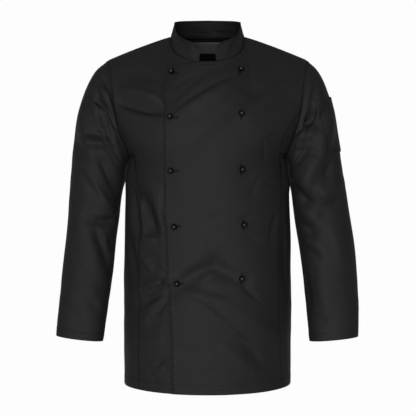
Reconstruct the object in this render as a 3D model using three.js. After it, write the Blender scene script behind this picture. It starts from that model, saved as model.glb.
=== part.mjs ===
// A double-breasted chef jacket in black twill, worn shape with no wearer.
// Millimetres, +Z up. The origin is the middle of the neck base, level with the
// points where the collar meets the shoulder seams. The front faces -Y and the
// wearer's left is +X.
import * as THREE from 'three';

// Cloth and seams
const wall = 1.5;
const seamGap = 0.4;
const bentSeam = { from: 0.1, to: 0.5 };
const sharpestCorner = 0.3;
const smallTurn = 0.5;
const smallStep = 0.004;
const overlapLift = 2.9;
const hiddenRoom = 1.4;

// Neck ring and shoulders
const neckHalfWidth = 79;
const neckFrontDepth = 70;
const neckBackDepth = 60;
const neckFrontDrop = 62;
const neckPointZ = -2;
const neckBackRise = 7;
const neckDropPower = 0.7;
const neckAngleFront = 40;
const neckAngleBack = 36;
const shoulder = { x: 213, y: 5, z: -52, curve: 1.15 };

// Armhole, from the underarm (h = 0) to the shoulder point (h = 1)
const underarmT = 0.66;
const underarmZ = -262;
const armholeFrontReach = 54;
const armholeBackReach = 60;
const armholeX = [
  { h: 0.0, x: 167 },
  { h: 0.13, x: 176 },
  { h: 0.27, x: 187 },
  { h: 0.45, x: 196 },
  { h: 0.69, x: 203 },
  { h: 0.89, x: 209 },
  { h: 1.0, x: 213 },
];

// Levels of the body: t runs from the hem (0) to the neckline (1). zFront, zSide and
// zBack are heights, half is the half-width, front and back are depths and turn is
// how far round the level has curved at its side edge, in degrees.
const bodyLevels = [
  { t: 0.0, zFront: -752, zSide: -744, zBack: -748, half: 178, front: 127, back: 121, turn: 90 },
  { t: 0.18, zFront: -614, zSide: -608, zBack: -612, half: 179.5, front: 125, back: 119, turn: 90 },
  { t: 0.42, zFront: -432, zSide: -430, zBack: -432, half: 178, front: 119, back: 106, turn: 90 },
  { t: 0.56, zFront: -325, zSide: -330, zBack: -322, half: 174.5, front: 122, back: 113, turn: 90 },
  { t: 0.66, zFront: -251, zSide: -262, zBack: -244, half: 167, front: 120, back: 117, turn: 90 },
  { t: 0.76, zFront: -198, zSide: -200, zBack: -176, half: 188, front: 115, back: 117, turn: 78 },
  { t: 0.88, zFront: -131, zSide: -126, zBack: -88, half: 202, front: 98, back: 101, turn: 64 },
  { t: 1.0, zFront: -64, zSide: -52, zBack: 5, half: 213, front: 70, back: 60, turn: 60 },
];
const topBlendStart = 0.7;

// Princess seams: how far round each front or back level they lie, in degrees.
const frontSeamLeft = [
  { t: 0.0, angle: 62.5 },
  { t: 0.18, angle: 57.5 },
  { t: 0.42, angle: 58.5 },
  { t: 0.56, angle: 64 },
  { t: 0.66, angle: 68 },
  { t: 0.75, angle: 73 },
  { t: 0.815, angle: 90 },
];
const frontSeamRight = [
  { t: 0.0, angle: 54.5 },
  { t: 0.18, angle: 53.7 },
  { t: 0.42, angle: 54.3 },
  { t: 0.56, angle: 57.5 },
  { t: 0.65, angle: 68 },
  { t: 0.71, angle: 76 },
  { t: 0.775, angle: 90 },
];
const backSeam = [
  { t: 0.0, angle: 54 },
  { t: 0.42, angle: 52 },
  { t: 0.6, angle: 57 },
  { t: 0.72, angle: 68 },
  { t: 0.8, angle: 90 },
];

// Closing edge of the front on top: its distance from the middle at each height.
const closingEdge = [
  { z: -752, x: 74 },
  { z: -640, x: 75.5 },
  { z: -520, x: 82.5 },
  { z: -360, x: 88 },
  { z: -165, x: 90 },
  { z: -60, x: 87 },
];
const closingTopZ = -64;
const closingTopFall = 7;
const closingTopT = 0.98;
const closingLowest = 0.8;
const liftEnd = { noX: 150, fullX: 94, t: 0.94, fullAngle: 10, noAngle: 36 };
const neckColumnAtHem = 33;
// Where the folds die away, and where the front underneath is hidden by the one on top
const bodyCalm = { angle: 76, t: 0.9 };
const hiddenFrom = { shownX: -100, hiddenX: -84, t: 0.96 };
// Steps of each halving search, and how finely border points are matched, per mm
const halvings = 30;
const matchGrid = 20;

// Sleeves: each row is one section, from its outer point to its inner point in the
// front view, with its depth before and behind, and how far forward its middle lies.
const sleeveLeft = [
  { outX: 213, outZ: -52, inX: 167, inZ: -262, front: 54, back: 60, mid: 2 },
  { outX: 234, outZ: -72, inX: 170.4, inZ: -266, front: 57, back: 63, mid: 1 },
  { outX: 250, outZ: -99, inX: 173, inZ: -271, front: 60, back: 66, mid: 1 },
  { outX: 263, outZ: -134, inX: 175, inZ: -278, front: 62, back: 67, mid: 2 },
  { outX: 273, outZ: -178, inX: 177, inZ: -290, front: 63, back: 66, mid: 4 },
  { outX: 283, outZ: -236, inX: 178.4, inZ: -310, front: 62, back: 63, mid: 6 },
  { outX: 293, outZ: -302, inX: 181.5, inZ: -345, front: 59, back: 59, mid: 8 },
  { outX: 304, outZ: -368, inX: 187, inZ: -392, front: 56, back: 56, mid: 7 },
  { outX: 314, outZ: -440, inX: 197, inZ: -452, front: 53, back: 53, mid: 1 },
  { outX: 320, outZ: -512, inX: 205, inZ: -522, front: 48, back: 48, mid: -9 },
  { outX: 322, outZ: -580, inX: 211, inZ: -590, front: 43, back: 43, mid: -20 },
  { outX: 319.5, outZ: -642, inX: 216.5, inZ: -652, front: 37, back: 38, mid: -30 },
];
const sleeveRight = [
  { outX: 213, outZ: -52, inX: 167, inZ: -262, front: 54, back: 60, mid: 2 },
  { outX: 239, outZ: -75, inX: 170.4, inZ: -266, front: 57, back: 63, mid: 1 },
  { outX: 256, outZ: -103, inX: 173, inZ: -271, front: 60, back: 66, mid: 1 },
  { outX: 270, outZ: -138, inX: 175, inZ: -278, front: 62, back: 67, mid: 2 },
  { outX: 281, outZ: -182, inX: 177.4, inZ: -290, front: 63, back: 66, mid: 4 },
  { outX: 289, outZ: -238, inX: 180, inZ: -310, front: 62, back: 63, mid: 6 },
  { outX: 294, outZ: -302, inX: 185.5, inZ: -345, front: 59, back: 59, mid: 8 },
  { outX: 299, outZ: -368, inX: 190.5, inZ: -392, front: 56, back: 56, mid: 7 },
  { outX: 304.5, outZ: -440, inX: 197, inZ: -452, front: 53, back: 53, mid: 1 },
  { outX: 311.5, outZ: -512, inX: 204.5, inZ: -522, front: 48, back: 48, mid: -9 },
  { outX: 317, outZ: -580, inX: 213, inZ: -590, front: 43, back: 43, mid: -20 },
  { outX: 321, outZ: -640, inX: 222, inZ: -652, front: 37, back: 38, mid: -30 },
];
for (const table of [sleeveLeft, sleeveRight]) {
  table.forEach((section, index) => {
    section.row = index;
  });
}
const seamFollow = 0.22;
const sleeveFullness = 0.92;
const sleeveLength = 620;
// Behind the inner side each sleeve swells towards the body, as far down as from and to say
const swell = { turn: 224, wide: 30, deep: 15, from: 0.08, full: 0.26, wane: 0.42, to: 0.56 };
// Where a sleeve's folds are calm: near its ends, and near its inner line at the top
const sleeveCalm = {
  top: 0.12, cuff: 0.95, innerNone: 25, innerFull: 60, lowFrom: 0.5, lowTo: 0.62, low: 0.6,
};
const sleeveSpacing = 1.1;

// Collar: its height and its lean inwards, round the ring from the front (0) to the
// back (180).
const collarRing = [
  { ring: 0, tall: 36, lean: 7 },
  { ring: 45, tall: 38, lean: 8 },
  { ring: 90, tall: 32, lean: 9 },
  { ring: 135, tall: 35, lean: 6 },
  { ring: 180, tall: 37, lean: 3 },
];
const collarRound = 20;
const collarEndRing = 60;

// Pen pocket on the left sleeve, and the bare label inside the back of the neck
const pocket = { top: -134, bottom: -249, turnFront: 66, turnBack: -30, gap: 1.2, rows: 6, columns: 8 };
const label = { topT: 0.988, bottomT: 0.958, angle: 10, gap: 1.6, thick: 0.7, rows: 2, columns: 4 };

// Ball studs
const stud = {
  radius: 6.5, middle: 6, neckRadius: 3.6, startAngle: 0.62, rings: 5, sides: 10, seat: 0.4, search: 20,
};
const studTopT = 0.97;
const studPlaces = [
  {
    name: 'right',
    places: [
      { x: -73.5, z: -87.5 },
      { x: -73, z: -184 },
      { x: -73, z: -294 },
      { x: -67, z: -408 },
      { x: -63, z: -525 },
    ],
  },
  {
    name: 'left',
    places: [
      { x: 67, z: -83 },
      { x: 69, z: -177 },
      { x: 69, z: -291 },
      { x: 73, z: -404.5 },
      { x: 70, z: -516 },
    ],
  },
];

// Grid steps
const rowsBelowJoin = 18;
const rowsAboveJoin = 7;
const overlapSteps = 5;
const neckSteps = 7;
const shoulderSteps = 6;
const sideSteps = 4;
const sleeveSteps = 24;
const backMiddleColumn = shoulderSteps + (neckSteps - 1) / 2;
const collarRows = 4;
const collarEndParts = 4;
const collarMiddleColumn = neckSteps + collarEndParts + 1;

// A smooth value from a short table, through its rows in order.
function fromTable(table, key, at, column) {
  const last = table.length - 1;
  let i = 0;
  while (i < last - 1 && at > table[i + 1][key]) i += 1;
  const slope = (a, b) => (table[b][column] - table[a][column]) / (table[b][key] - table[a][key]);
  const gap = table[i + 1][key] - table[i][key];
  const here = slope(i, i + 1);
  const before = i > 0 ? (slope(i - 1, i) + here) / 2 : here;
  const after = i + 1 < last ? (here + slope(i + 1, i + 2)) / 2 : here;
  const s = THREE.MathUtils.clamp((at - table[i][key]) / gap, 0, 1);
  const rise = table[i + 1][column] - table[i][column];
  const ends = table[i][column] + rise * s * s * (3 - 2 * s);
  return ends + gap * s * (1 - s) * (before * (1 - s) - after * s);
}

const degrees = THREE.MathUtils.degToRad;

// A smooth step from 0 to 1 as a value goes from one number to another, either way.
function ease(from, to, at) {
  const s = THREE.MathUtils.clamp((at - from) / (to - from), 0, 1);
  return s * s * (3 - 2 * s);
}

// Largest folds of the body, as seen from the front or the back: each runs from one
// point to the other, with its half-width and its height (less than 0 is a trough).
const frontFolds = [
  { x1: -205, z1: -78, x2: -98, z2: -126, wide: 20, high: 3.5 },
  { x1: -198, z1: -121, x2: -98, z2: -165, wide: 20, high: -4 },
  { x1: -68, z1: -180, x2: 62, z2: -92, wide: 20, high: 3.5 },
  { x1: -30, z1: -232, x2: 66, z2: -150, wide: 18, high: -3 },
  { x1: 82, z1: -178, x2: 182, z2: -110, wide: 24, high: 3.5 },
  { x1: 86, z1: -296, x2: 165, z2: -232, wide: 22, high: -3.5 },
  { x1: -152, z1: -335, x2: -110, z2: -415, wide: 20, high: -5 },
  { x1: -128, z1: -322, x2: -84, z2: -395, wide: 18, high: 4 },
  { x1: -150, z1: -540, x2: -84, z2: -520, wide: 18, high: 4 },
  { x1: -146, z1: -572, x2: -84, z2: -545, wide: 18, high: -4 },
  { x1: -64, z1: -532, x2: 20, z2: -482, wide: 20, high: -4.5 },
  { x1: 12, z1: -482, x2: 70, z2: -520, wide: 18, high: -4 },
  { x1: -10, z1: -600, x2: 118, z2: -690, wide: 24, high: -4 },
  { x1: 20, z1: -560, x2: 140, z2: -640, wide: 24, high: 3.5 },
];
const backFolds = [
  { x1: -150, z1: -130, x2: -60, z2: -230, wide: 24, high: 4 },
  { x1: 150, z1: -125, x2: 66, z2: -236, wide: 24, high: 4 },
  { x1: -120, z1: -360, x2: 40, z2: -400, wide: 24, high: -5 },
  { x1: -40, z1: -438, x2: 128, z2: -410, wide: 24, high: -5 },
  { x1: -130, z1: -470, x2: 30, z2: -480, wide: 22, high: 4 },
  { x1: -20, z1: -560, x2: -60, z2: -720, wide: 28, high: 4 },
  { x1: 60, z1: -550, x2: 80, z2: -720, wide: 28, high: -4 },
];
// Folds of the sleeves: down the sleeve (along, 0 to 1) and round it (turn, degrees,
// where 90 is the front, 180 the inner side and 270 the back).
const sleeveFolds = [
  { along1: 0.12, turn1: 60, along2: 0.3, turn2: 130, wide: 20, high: -5 },
  { along1: 0.25, turn1: 40, along2: 0.36, turn2: 125, wide: 20, high: -4 },
  { along1: 0.34, turn1: 40, along2: 0.52, turn2: 120, wide: 22, high: 4.5 },
  { along1: 0.42, turn1: 30, along2: 0.6, turn2: 140, wide: 18, high: -5 },
  { along1: 0.62, turn1: 60, along2: 0.7, turn2: 150, wide: 18, high: -4 },
  { along1: 0.2, turn1: 235, along2: 0.34, turn2: 300, wide: 22, high: -5 },
  { along1: 0.46, turn1: 215, along2: 0.56, turn2: 310, wide: 20, high: -5 },
  { along1: 0.55, turn1: 220, along2: 0.63, turn2: 300, wide: 18, high: 4 },
];

const sleeveFoldLines = sleeveFolds.map((fold) => ({
  x1: fold.turn1,
  z1: -fold.along1 * sleeveLength,
  x2: fold.turn2,
  z2: -fold.along2 * sleeveLength,
  wide: fold.wide,
  high: fold.high,
}));

// Height of one set of folds at a place: each is a soft ridge that dies away at its
// ends and its sides.
function foldHeight(folds, x, z) {
  let height = 0;
  for (const fold of folds) {
    const dx = fold.x2 - fold.x1;
    const dz = fold.z2 - fold.z1;
    const length = Math.hypot(dx, dz);
    const along = ((x - fold.x1) * dx + (z - fold.z1) * dz) / length;
    const across = ((x - fold.x1) * dz - (z - fold.z1) * dx) / length;
    const over = Math.max(0, -along, along - length);
    height += fold.high * Math.exp(-(across * across) / (fold.wide * fold.wide))
      * Math.exp(-(over * over) / (fold.wide * fold.wide));
  }
  return height;
}

// The room that the folds of the front on top need over the hidden cloth under it.
function foldRoom(folds, x, z) {
  const deep = folds.map((fold) => ({ ...fold, wide: fold.wide * hiddenRoom, high: Math.abs(fold.high) }));
  return foldHeight(deep, x, z);
}

// A point of the armhole at height h, on its front or back edge, for the +X side.
function armholePoint(h, isFront) {
  const reach = isFront ? -armholeFrontReach : armholeBackReach;
  const y = reach * 2 * Math.sqrt(Math.max(0, h * (1 - h))) + shoulder.y * h;
  return new THREE.Vector3(fromTable(armholeX, 'h', h, 'x'), y, underarmZ + (shoulder.z - underarmZ) * h);
}

// How far up the armhole a level lies.
function heightInArmhole(t) {
  return Math.max(0, (t - underarmT) / (1 - underarmT));
}

// The upper edge of the body: the neckline out to the neck point, then the shoulder.
function topEdge(angle, isFront) {
  const neckAngle = isFront ? neckAngleFront : neckAngleBack;
  if (angle <= neckAngle) {
    const around = degrees(90 * angle / neckAngle);
    const c = Math.max(0, Math.cos(around));
    const y = isFront ? -neckFrontDepth * c : neckBackDepth * c;
    const z = isFront ? neckPointZ - neckFrontDrop * c ** neckDropPower : neckPointZ + neckBackRise * c;
    return new THREE.Vector3(neckHalfWidth * Math.sin(around), y, z);
  }
  const q = (angle - neckAngle) / (90 - neckAngle);
  return new THREE.Vector3(neckHalfWidth + (shoulder.x - neckHalfWidth) * q, shoulder.y * q,
    neckPointZ + (shoulder.z - neckPointZ) * q ** shoulder.curve);
}

// A level of the body as a plain curve, from its middle to its side or armhole edge.
function levelPoint(angle, t, isFront) {
  const value = (column) => fromTable(bodyLevels, 't', t, column);
  const side = t > underarmT ? armholePoint(heightInArmhole(t), isFront)
    : new THREE.Vector3(value('half'), 0, value('zSide'));
  const turn = degrees(value('turn'));
  const a = turn * angle / 90;
  const depth = isFront ? -value('front') : value('back');
  const middleZ = isFront ? value('zFront') : value('zBack');
  const inward = (Math.cos(a) - Math.cos(turn)) / (1 - Math.cos(turn));
  return new THREE.Vector3(side.x * Math.sin(a) / Math.sin(turn),
    side.y + (depth - side.y) * inward, side.z + (middleZ - side.z) * inward);
}

// A point of the body cloth. The angle is 0 at the middle of the front (or of the
// back) and 90 at the side or the armhole edge; t runs up from the hem. Near the top
// the levels bend into the neckline and the shoulder.
function bodyPlain(angle, t, isFront) {
  const point = levelPoint(angle, t, isFront);
  const q = Math.max(0, (t - topBlendStart) / (1 - topBlendStart));
  if (q === 0) return point;
  const bend = topEdge(angle, isFront).sub(levelPoint(angle, 1, isFront));
  return point.addScaledVector(bend, q * q);
}

// The body cloth with its folds, on either side: angle is less than 0 on the
// wearer's right.
function bodyPoint(angle, t, isFront, isUnder = false) {
  const point = bodyPlain(Math.abs(angle), t, isFront);
  point.x *= Math.sign(angle) || 1;
  const calm = ease(90, bodyCalm.angle, Math.abs(angle)) * ease(1, bodyCalm.t, t);
  const folds = isFront ? frontFolds : backFolds;
  const hidden = isUnder ? ease(hiddenFrom.shownX, hiddenFrom.hiddenX, point.x)
    * ease(hiddenFrom.t, bodyCalm.t, t) : 0;
  const shown = hidden < 1 ? foldHeight(folds, point.x, point.z) : 0;
  const height = calm * THREE.MathUtils.lerp(shown, -foldRoom(folds, point.x, point.z), hidden);
  const out = degrees(angle);
  point.x += height * Math.sin(out);
  point.y += height * (isFront ? -Math.cos(out) : Math.cos(out));
  return point;
}

// The direction out of the cloth at a place, from small steps both ways.
function outOf(surface, a, b) {
  const across = surface(a + smallTurn, b).sub(surface(a - smallTurn, b));
  const along = surface(a, Math.min(1, b + smallStep)).sub(surface(a, b - smallStep));
  return across.cross(along).normalize();
}

// A point that carries its direction out of the cloth.
function placeOn(surface, a, b, facing = 1) {
  const point = surface(a, b);
  point.out = outOf(surface, a, b).multiplyScalar(facing);
  return point;
}

// The angle at which a level reaches a distance from the middle.
function angleAt(x, t, isFront) {
  let low = 0;
  let high = 90;
  for (let i = 0; i < halvings; i += 1) {
    const middle = (low + high) / 2;
    if (bodyPlain(middle, t, isFront).x < x) low = middle;
    else high = middle;
  }
  return (low + high) / 2;
}

// The front is closed double: how far a front's hidden or closing edge lies from the
// middle at a level, and the level where its top edge crosses a distance x.
function closingX(t) {
  return fromTable(closingEdge, 'z', fromTable(bodyLevels, 't', t, 'zFront'), 'x');
}

function closingTop(part) {
  const x = part * closingX(closingTopT);
  const wanted = closingTopZ - closingTopFall * part;
  let low = closingLowest;
  let high = 1;
  for (let i = 0; i < halvings; i += 1) {
    const middle = (low + high) / 2;
    if (bodyPlain(angleAt(x, middle, true), middle, true).z < wanted) low = middle;
    else high = middle;
  }
  return part === 0 ? 1 : (low + high) / 2;
}

// A point of the front on top, which stands clear of the front under it where the two
// overlap; at the side of the overlap it comes back to the level of the body.
function topFrontPoint(angle, t) {
  const point = bodyPoint(angle, t, true);
  const normal = outOf((a, b) => bodyPoint(a, b, true), angle, t);
  const atSeam = ease(liftEnd.t, 1, t) * ease(liftEnd.fullAngle, liftEnd.noAngle, angle);
  const lift = overlapLift * ease(liftEnd.noX, liftEnd.fullX, point.x) * (1 - atSeam);
  return point.addScaledVector(normal, lift);
}

// A point of a sleeve on the +X side: turn is 0 at its outer point, 90 at the front,
// 180 at the inner point and 270 at the back; along is 0 at the armhole, 1 at the cuff.
function sleevePoint(table, turn, along) {
  const at = along * (table.length - 1);
  const value = (column) => fromTable(table, 'row', at, column);
  const a = degrees(turn);
  const c = Math.sign(Math.cos(a)) * Math.abs(Math.cos(a)) ** sleeveFullness;
  const across = new THREE.Vector3(value('outX') - value('inX'), 0, value('outZ') - value('inZ'));
  const half = across.divideScalar(2);
  const depth = Math.sin(a) > 0 ? value('front') : value('back');
  const point = new THREE.Vector3(value('inX'), value('mid'), value('inZ')).addScaledVector(half, 1 + c);
  point.y -= depth * Math.sin(a);
  const follow = Math.max(0, 1 - along / seamFollow) ** 2;
  if (follow > 0) {
    const first = table[0];
    const loop = armholePoint((1 + Math.cos(a)) / 2, Math.sin(a) > 0);
    const start = new THREE.Vector3(first.inX, first.mid, first.inZ);
    start.x += (first.outX - first.inX) * (1 + c) / 2;
    start.z += (first.outZ - first.inZ) * (1 + c) / 2;
    start.y -= (Math.sin(a) > 0 ? first.front : first.back) * Math.sin(a);
    point.addScaledVector(loop.sub(start), follow);
  }
  const bulge = Math.exp(-(((turn - swell.turn) / swell.wide) ** 2))
    * ease(swell.from, swell.full, along) * ease(swell.to, swell.wane, along);
  point.x -= swell.deep * bulge;
  const atInner = ease(sleeveCalm.innerNone, sleeveCalm.innerFull, Math.abs(turn - 180));
  const atLow = ease(sleeveCalm.lowFrom, sleeveCalm.lowTo, along) * sleeveCalm.low;
  const calm = ease(0, sleeveCalm.top, along) * ease(1, sleeveCalm.cuff, along) * Math.max(atInner, atLow);
  const height = calm * foldHeight(sleeveFoldLines, turn, -along * sleeveLength);
  point.addScaledVector(half.normalize(), height * Math.cos(a));
  point.y -= height * Math.sin(a);
  return point;
}

// The pieces as grids of outer points: rows go up the body or down a sleeve, and the
// columns run so that columns crossed with rows point out of the garment.
function rowLevels(seam) {
  const join = seam[seam.length - 1].t;
  const levels = [];
  for (let k = 0; k <= rowsBelowJoin; k += 1) levels.push(join * k / rowsBelowJoin);
  const joinTurn = Math.acos(2 * heightInArmhole(join) - 1);
  for (let k = 1; k <= rowsAboveJoin; k += 1) {
    const h = (1 + Math.cos(joinTurn * (1 - k / rowsAboveJoin))) / 2;
    levels.push(underarmT + (1 - underarmT) * h);
  }
  return levels;
}

// How far round a seam lies at a level; past its upper end it is the armhole's edge.
function seamAngle(seam, t) {
  return t >= seam[seam.length - 1].t ? 90 : Math.min(90, fromTable(seam, 't', t, 'angle'));
}

function frontGrid(side, seam, pointAt) {
  return rowLevels(seam).map((t) => {
    const edge = seamAngle(seam, t);
    const neck = THREE.MathUtils.lerp(neckColumnAtHem, neckAngleFront, t);
    const row = [];
    for (let j = overlapSteps; j >= 1; j -= 1) {
      const level = t * closingTop(j / overlapSteps);
      const x = (j / overlapSteps) * closingX(level);
      row.push(placeOn(pointAt, -side * angleAt(x, level, true), level));
    }
    for (let i = 0; i <= neckSteps; i += 1) row.push(placeOn(pointAt, side * neck * i / neckSteps, t));
    for (let i = 1; i <= shoulderSteps; i += 1) {
      row.push(placeOn(pointAt, side * THREE.MathUtils.lerp(neck, edge, i / shoulderSteps), t));
    }
    return side > 0 ? row : row.reverse();
  });
}

// The back, from the wearer's left seam and armhole to the right ones.
function backGrid() {
  const pointAt = (angle, t) => bodyPoint(angle, t, false);
  return rowLevels(backSeam).map((t) => {
    const edge = seamAngle(backSeam, t);
    const neck = THREE.MathUtils.lerp(neckColumnAtHem, neckAngleBack, t);
    const angles = [];
    for (let i = shoulderSteps; i >= 1; i -= 1) {
      angles.push(THREE.MathUtils.lerp(neck, edge, i / shoulderSteps));
    }
    for (let i = neckSteps; i >= -neckSteps; i -= 2) angles.push(neck * i / neckSteps);
    for (let i = 1; i <= shoulderSteps; i += 1) {
      angles.push(-THREE.MathUtils.lerp(neck, edge, i / shoulderSteps));
    }
    return angles.map((angle) => placeOn(pointAt, angle, t, -1));
  });
}

// A side panel runs from the front seam round under the arm to the back seam.
function sideGrid(side, seam) {
  const rows = [];
  for (let k = 0; k <= rowsBelowJoin; k += 1) {
    const row = [];
    for (let i = -sideSteps; i <= sideSteps; i += 1) {
      const isFront = i < 0;
      const line = isFront ? seam : backSeam;
      const join = line[line.length - 1].t;
      const part = Math.abs(i) / sideSteps;
      const t = (underarmT + (join - underarmT) * part * part) * k / rowsBelowJoin;
      const turnLeft = 90 - seamAngle(line, join * k / rowsBelowJoin);
      const pointAt = (angle, level) => bodyPoint(angle, level, isFront);
      const angle = side * (90 - turnLeft * part);
      row.push(part === 1 ? placeOn(pointAt, angle, t, isFront ? 1 : -1) : pointAt(angle, t));
    }
    rows.push(side > 0 ? row : row.reverse());
  }
  return rows;
}

// The sleeve's columns start from the same armhole points as the panels' edges.
function sleeveGrid(side, seam, table) {
  const turns = [];
  const turnOf = (h) => THREE.MathUtils.radToDeg(Math.acos(THREE.MathUtils.clamp(2 * h - 1, -1, 1)));
  const frontJoin = turnOf(heightInArmhole(seam[seam.length - 1].t));
  const backJoin = turnOf(heightInArmhole(backSeam[backSeam.length - 1].t));
  for (let k = 0; k < rowsAboveJoin; k += 1) turns.push(frontJoin * k / rowsAboveJoin);
  for (let i = -sideSteps; i < sideSteps; i += 1) {
    const join = i < 0 ? seam[seam.length - 1].t : backSeam[backSeam.length - 1].t;
    const turn = turnOf(heightInArmhole(join) * (i / sideSteps) ** 2);
    turns.push(i < 0 ? turn : 360 - turn);
  }
  for (let k = 0; k < rowsAboveJoin; k += 1) turns.push(360 - backJoin + backJoin * k / rowsAboveJoin);
  const rows = [];
  for (let r = 0; r <= sleeveSteps; r += 1) {
    const along = (r / sleeveSteps) ** sleeveSpacing;
    const row = turns.map((turn) => {
      const point = placeOn((a, b) => sleevePoint(table, a, Math.max(0, b)), turn, along);
      point.x *= side;
      point.out.x *= side;
      return point;
    });
    rows.push(side > 0 ? row : row.reverse());
  }
  return rows;
}

// The collar stands on the neckline, from one rounded front end round the back to the
// other. Each column is a neckline point and how far round the ring it lies.
function collarGrid() {
  const base = [];
  const addStretch = (isFront, angles, pointAt) => {
    const neckAngle = isFront ? neckAngleFront : neckAngleBack;
    for (const angle of angles) {
      const around = 90 * Math.abs(angle) / neckAngle;
      base.push({ point: pointAt(angle), ring: isFront ? around : 180 - around, side: Math.sign(angle) });
    }
  };
  const steps = [...Array(neckSteps).keys()].map((i) => (i + 1) * neckAngleFront / neckSteps);
  addStretch(true, steps.map((angle) => -angle), (angle) => bodyPoint(angle, 1, true));
  const backAngles = [];
  for (let i = neckSteps - 2; i >= -neckSteps + 2; i -= 2) backAngles.push(-neckAngleBack * i / neckSteps);
  addStretch(false, backAngles, (angle) => bodyPoint(angle, 1, false));
  addStretch(true, steps.slice().reverse(), (angle) => topFrontPoint(angle, 1));
  // Each rounded end has finer columns, on the straight stretch of seam they share.
  const columns = [];
  base.forEach((place, index) => {
    const next = base[index + 1];
    const parts = index === 0 || index === base.length - 2 ? collarEndParts : 1;
    columns.push(place);
    for (let k = 1; k < parts && next; k += 1) {
      const s = k / parts;
      columns.push({
        point: place.point.clone().lerp(next.point, s),
        ring: THREE.MathUtils.lerp(place.ring, next.ring, s),
        side: place.side,
      });
    }
  });
  const rows = [];
  for (let r = 0; r <= collarRows; r += 1) {
    const up = r / collarRows;
    rows.push(columns.map((place) => {
      const end = place.side < 0 ? columns[0].point : columns[columns.length - 1].point;
      const toEnd = place.point.distanceTo(end);
      const reach = place.ring < collarEndRing ? Math.min(toEnd, collarRound) : collarRound;
      const drop = collarRound - Math.sqrt(collarRound ** 2 - (collarRound - reach) ** 2);
      const tall = (fromTable(collarRing, 'ring', place.ring, 'tall') - drop) * up;
      const lean = fromTable(collarRing, 'ring', place.ring, 'lean') * up;
      const around = degrees(place.ring);
      return place.point.clone().add(new THREE.Vector3(-lean * Math.sin(around) * (place.side || 1),
        lean * Math.cos(around), tall));
    }).reverse());
  }
  return rows;
}

// The directions out of a grid: its column direction crossed with its row direction.
function normalsOf(grid, round) {
  const rows = grid.length;
  const columns = grid[0].length;
  return grid.map((row, r) => row.map((point, c) => {
    if (point.out) return point.out.clone();
    const left = round ? row[(c + columns - 1) % columns] : row[Math.max(0, c - 1)];
    const right = round ? row[(c + 1) % columns] : row[Math.min(columns - 1, c + 1)];
    const along = grid[Math.min(rows - 1, r + 1)][c].clone().sub(grid[Math.max(0, r - 1)][c]);
    return right.clone().sub(left).cross(along).normalize();
  }));
}

// A grid lifted off a panel along its normals, such as a pocket on a sleeve.
function liftedGrid(grid, distance) {
  const normals = normalsOf(grid, false);
  return grid.map((row, r) => row.map((point, c) => point.clone().addScaledVector(normals[r][c], distance)));
}

// The pocket's top and bottom lie level, across the fan of the sleeve's sections.
function pocketGrid() {
  const rows = [];
  for (let r = 0; r <= pocket.rows; r += 1) {
    const down = r / pocket.rows;
    const row = [];
    for (let c = 0; c <= pocket.columns; c += 1) {
      const turn = THREE.MathUtils.lerp(pocket.turnBack, pocket.turnFront, c / pocket.columns);
      const z = THREE.MathUtils.lerp(pocket.top, pocket.bottom, down);
      row.push(sleevePoint(sleeveLeft, turn, alongAt(sleeveLeft, turn, z)));
    }
    rows.push(row);
  }
  return liftedGrid(rows, wall + pocket.gap);
}

// How far down a sleeve a height lies at one turn.
function alongAt(table, turn, z) {
  let low = 0;
  let high = 1;
  for (let i = 0; i < halvings; i += 1) {
    const middle = (low + high) / 2;
    if (sleevePoint(table, turn, middle).z > z) low = middle;
    else high = middle;
  }
  return (low + high) / 2;
}

// The label lies inside the back, just under the collar.
function labelGrid() {
  const rows = [];
  for (let r = 0; r <= label.rows; r += 1) {
    const t = THREE.MathUtils.lerp(label.bottomT, label.topT, r / label.rows);
    const row = [];
    for (let c = 0; c <= label.columns; c += 1) {
      row.push(bodyPoint(label.angle * (1 - 2 * c / label.columns), t, false));
    }
    rows.push(row);
  }
  return liftedGrid(rows, -wall - label.gap);
}

// Cloth made from the grids: normals are shared where pieces meet, each piece is cut
// back by half of the seam gap, and its wall goes inwards from the outer points.
const cloth = [];

function addCloth(name, grid, material, options = {}) {
  const plain = { round: false, thick: wall, loose: false, isMirrored: () => false };
  cloth.push({ name, grid, material, ...plain, ...options });
}

function borderOf(piece) {
  const lastRow = piece.grid.length - 1;
  const lastColumn = piece.grid[0].length - 1;
  const border = [];
  piece.grid.forEach((row, r) => row.forEach((point, c) => {
    const sideways = !piece.round && (c === 0 || c === lastColumn);
    if (r === 0 || r === lastRow || sideways) border.push({ r, c });
  }));
  return border;
}

function placeKey(point) {
  return point.toArray().map((n) => Math.round(n * matchGrid)).join(',');
}

// For each border point: the direction into its own piece, square to the border.
function inwardSteps(piece) {
  const { grid, normals, round } = piece;
  const lastRow = grid.length - 1;
  const lastColumn = grid[0].length - 1;
  return borderOf(piece).map(({ r, c }) => {
    const steps = [];
    const addStep = (towards, before, after) => {
      const tangent = after.clone().sub(before).normalize();
      const step = towards.clone().sub(grid[r][c]);
      step.addScaledVector(tangent, -step.dot(tangent));
      step.addScaledVector(normals[r][c], -step.dot(normals[r][c]));
      steps.push(step.normalize());
    };
    if (r === 0 || r === lastRow) {
      const before = round ? grid[r][(c + lastColumn) % (lastColumn + 1)] : grid[r][Math.max(0, c - 1)];
      const after = round ? grid[r][(c + 1) % (lastColumn + 1)] : grid[r][Math.min(lastColumn, c + 1)];
      addStep(grid[r === 0 ? 1 : lastRow - 1][c], before, after);
    }
    if (!round && (c === 0 || c === lastColumn)) {
      const beside = grid[r][c === 0 ? 1 : lastColumn - 1];
      addStep(beside, grid[Math.max(0, r - 1)][c], grid[Math.min(lastRow, r + 1)][c]);
    }
    if (steps.length === 1) return { r, c, inward: steps[0] };
    const mitre = Math.max(sharpestCorner, 1 + steps[0].dot(steps[1]));
    return { r, c, inward: steps[0].add(steps[1]).divideScalar(mitre) };
  });
}

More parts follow.
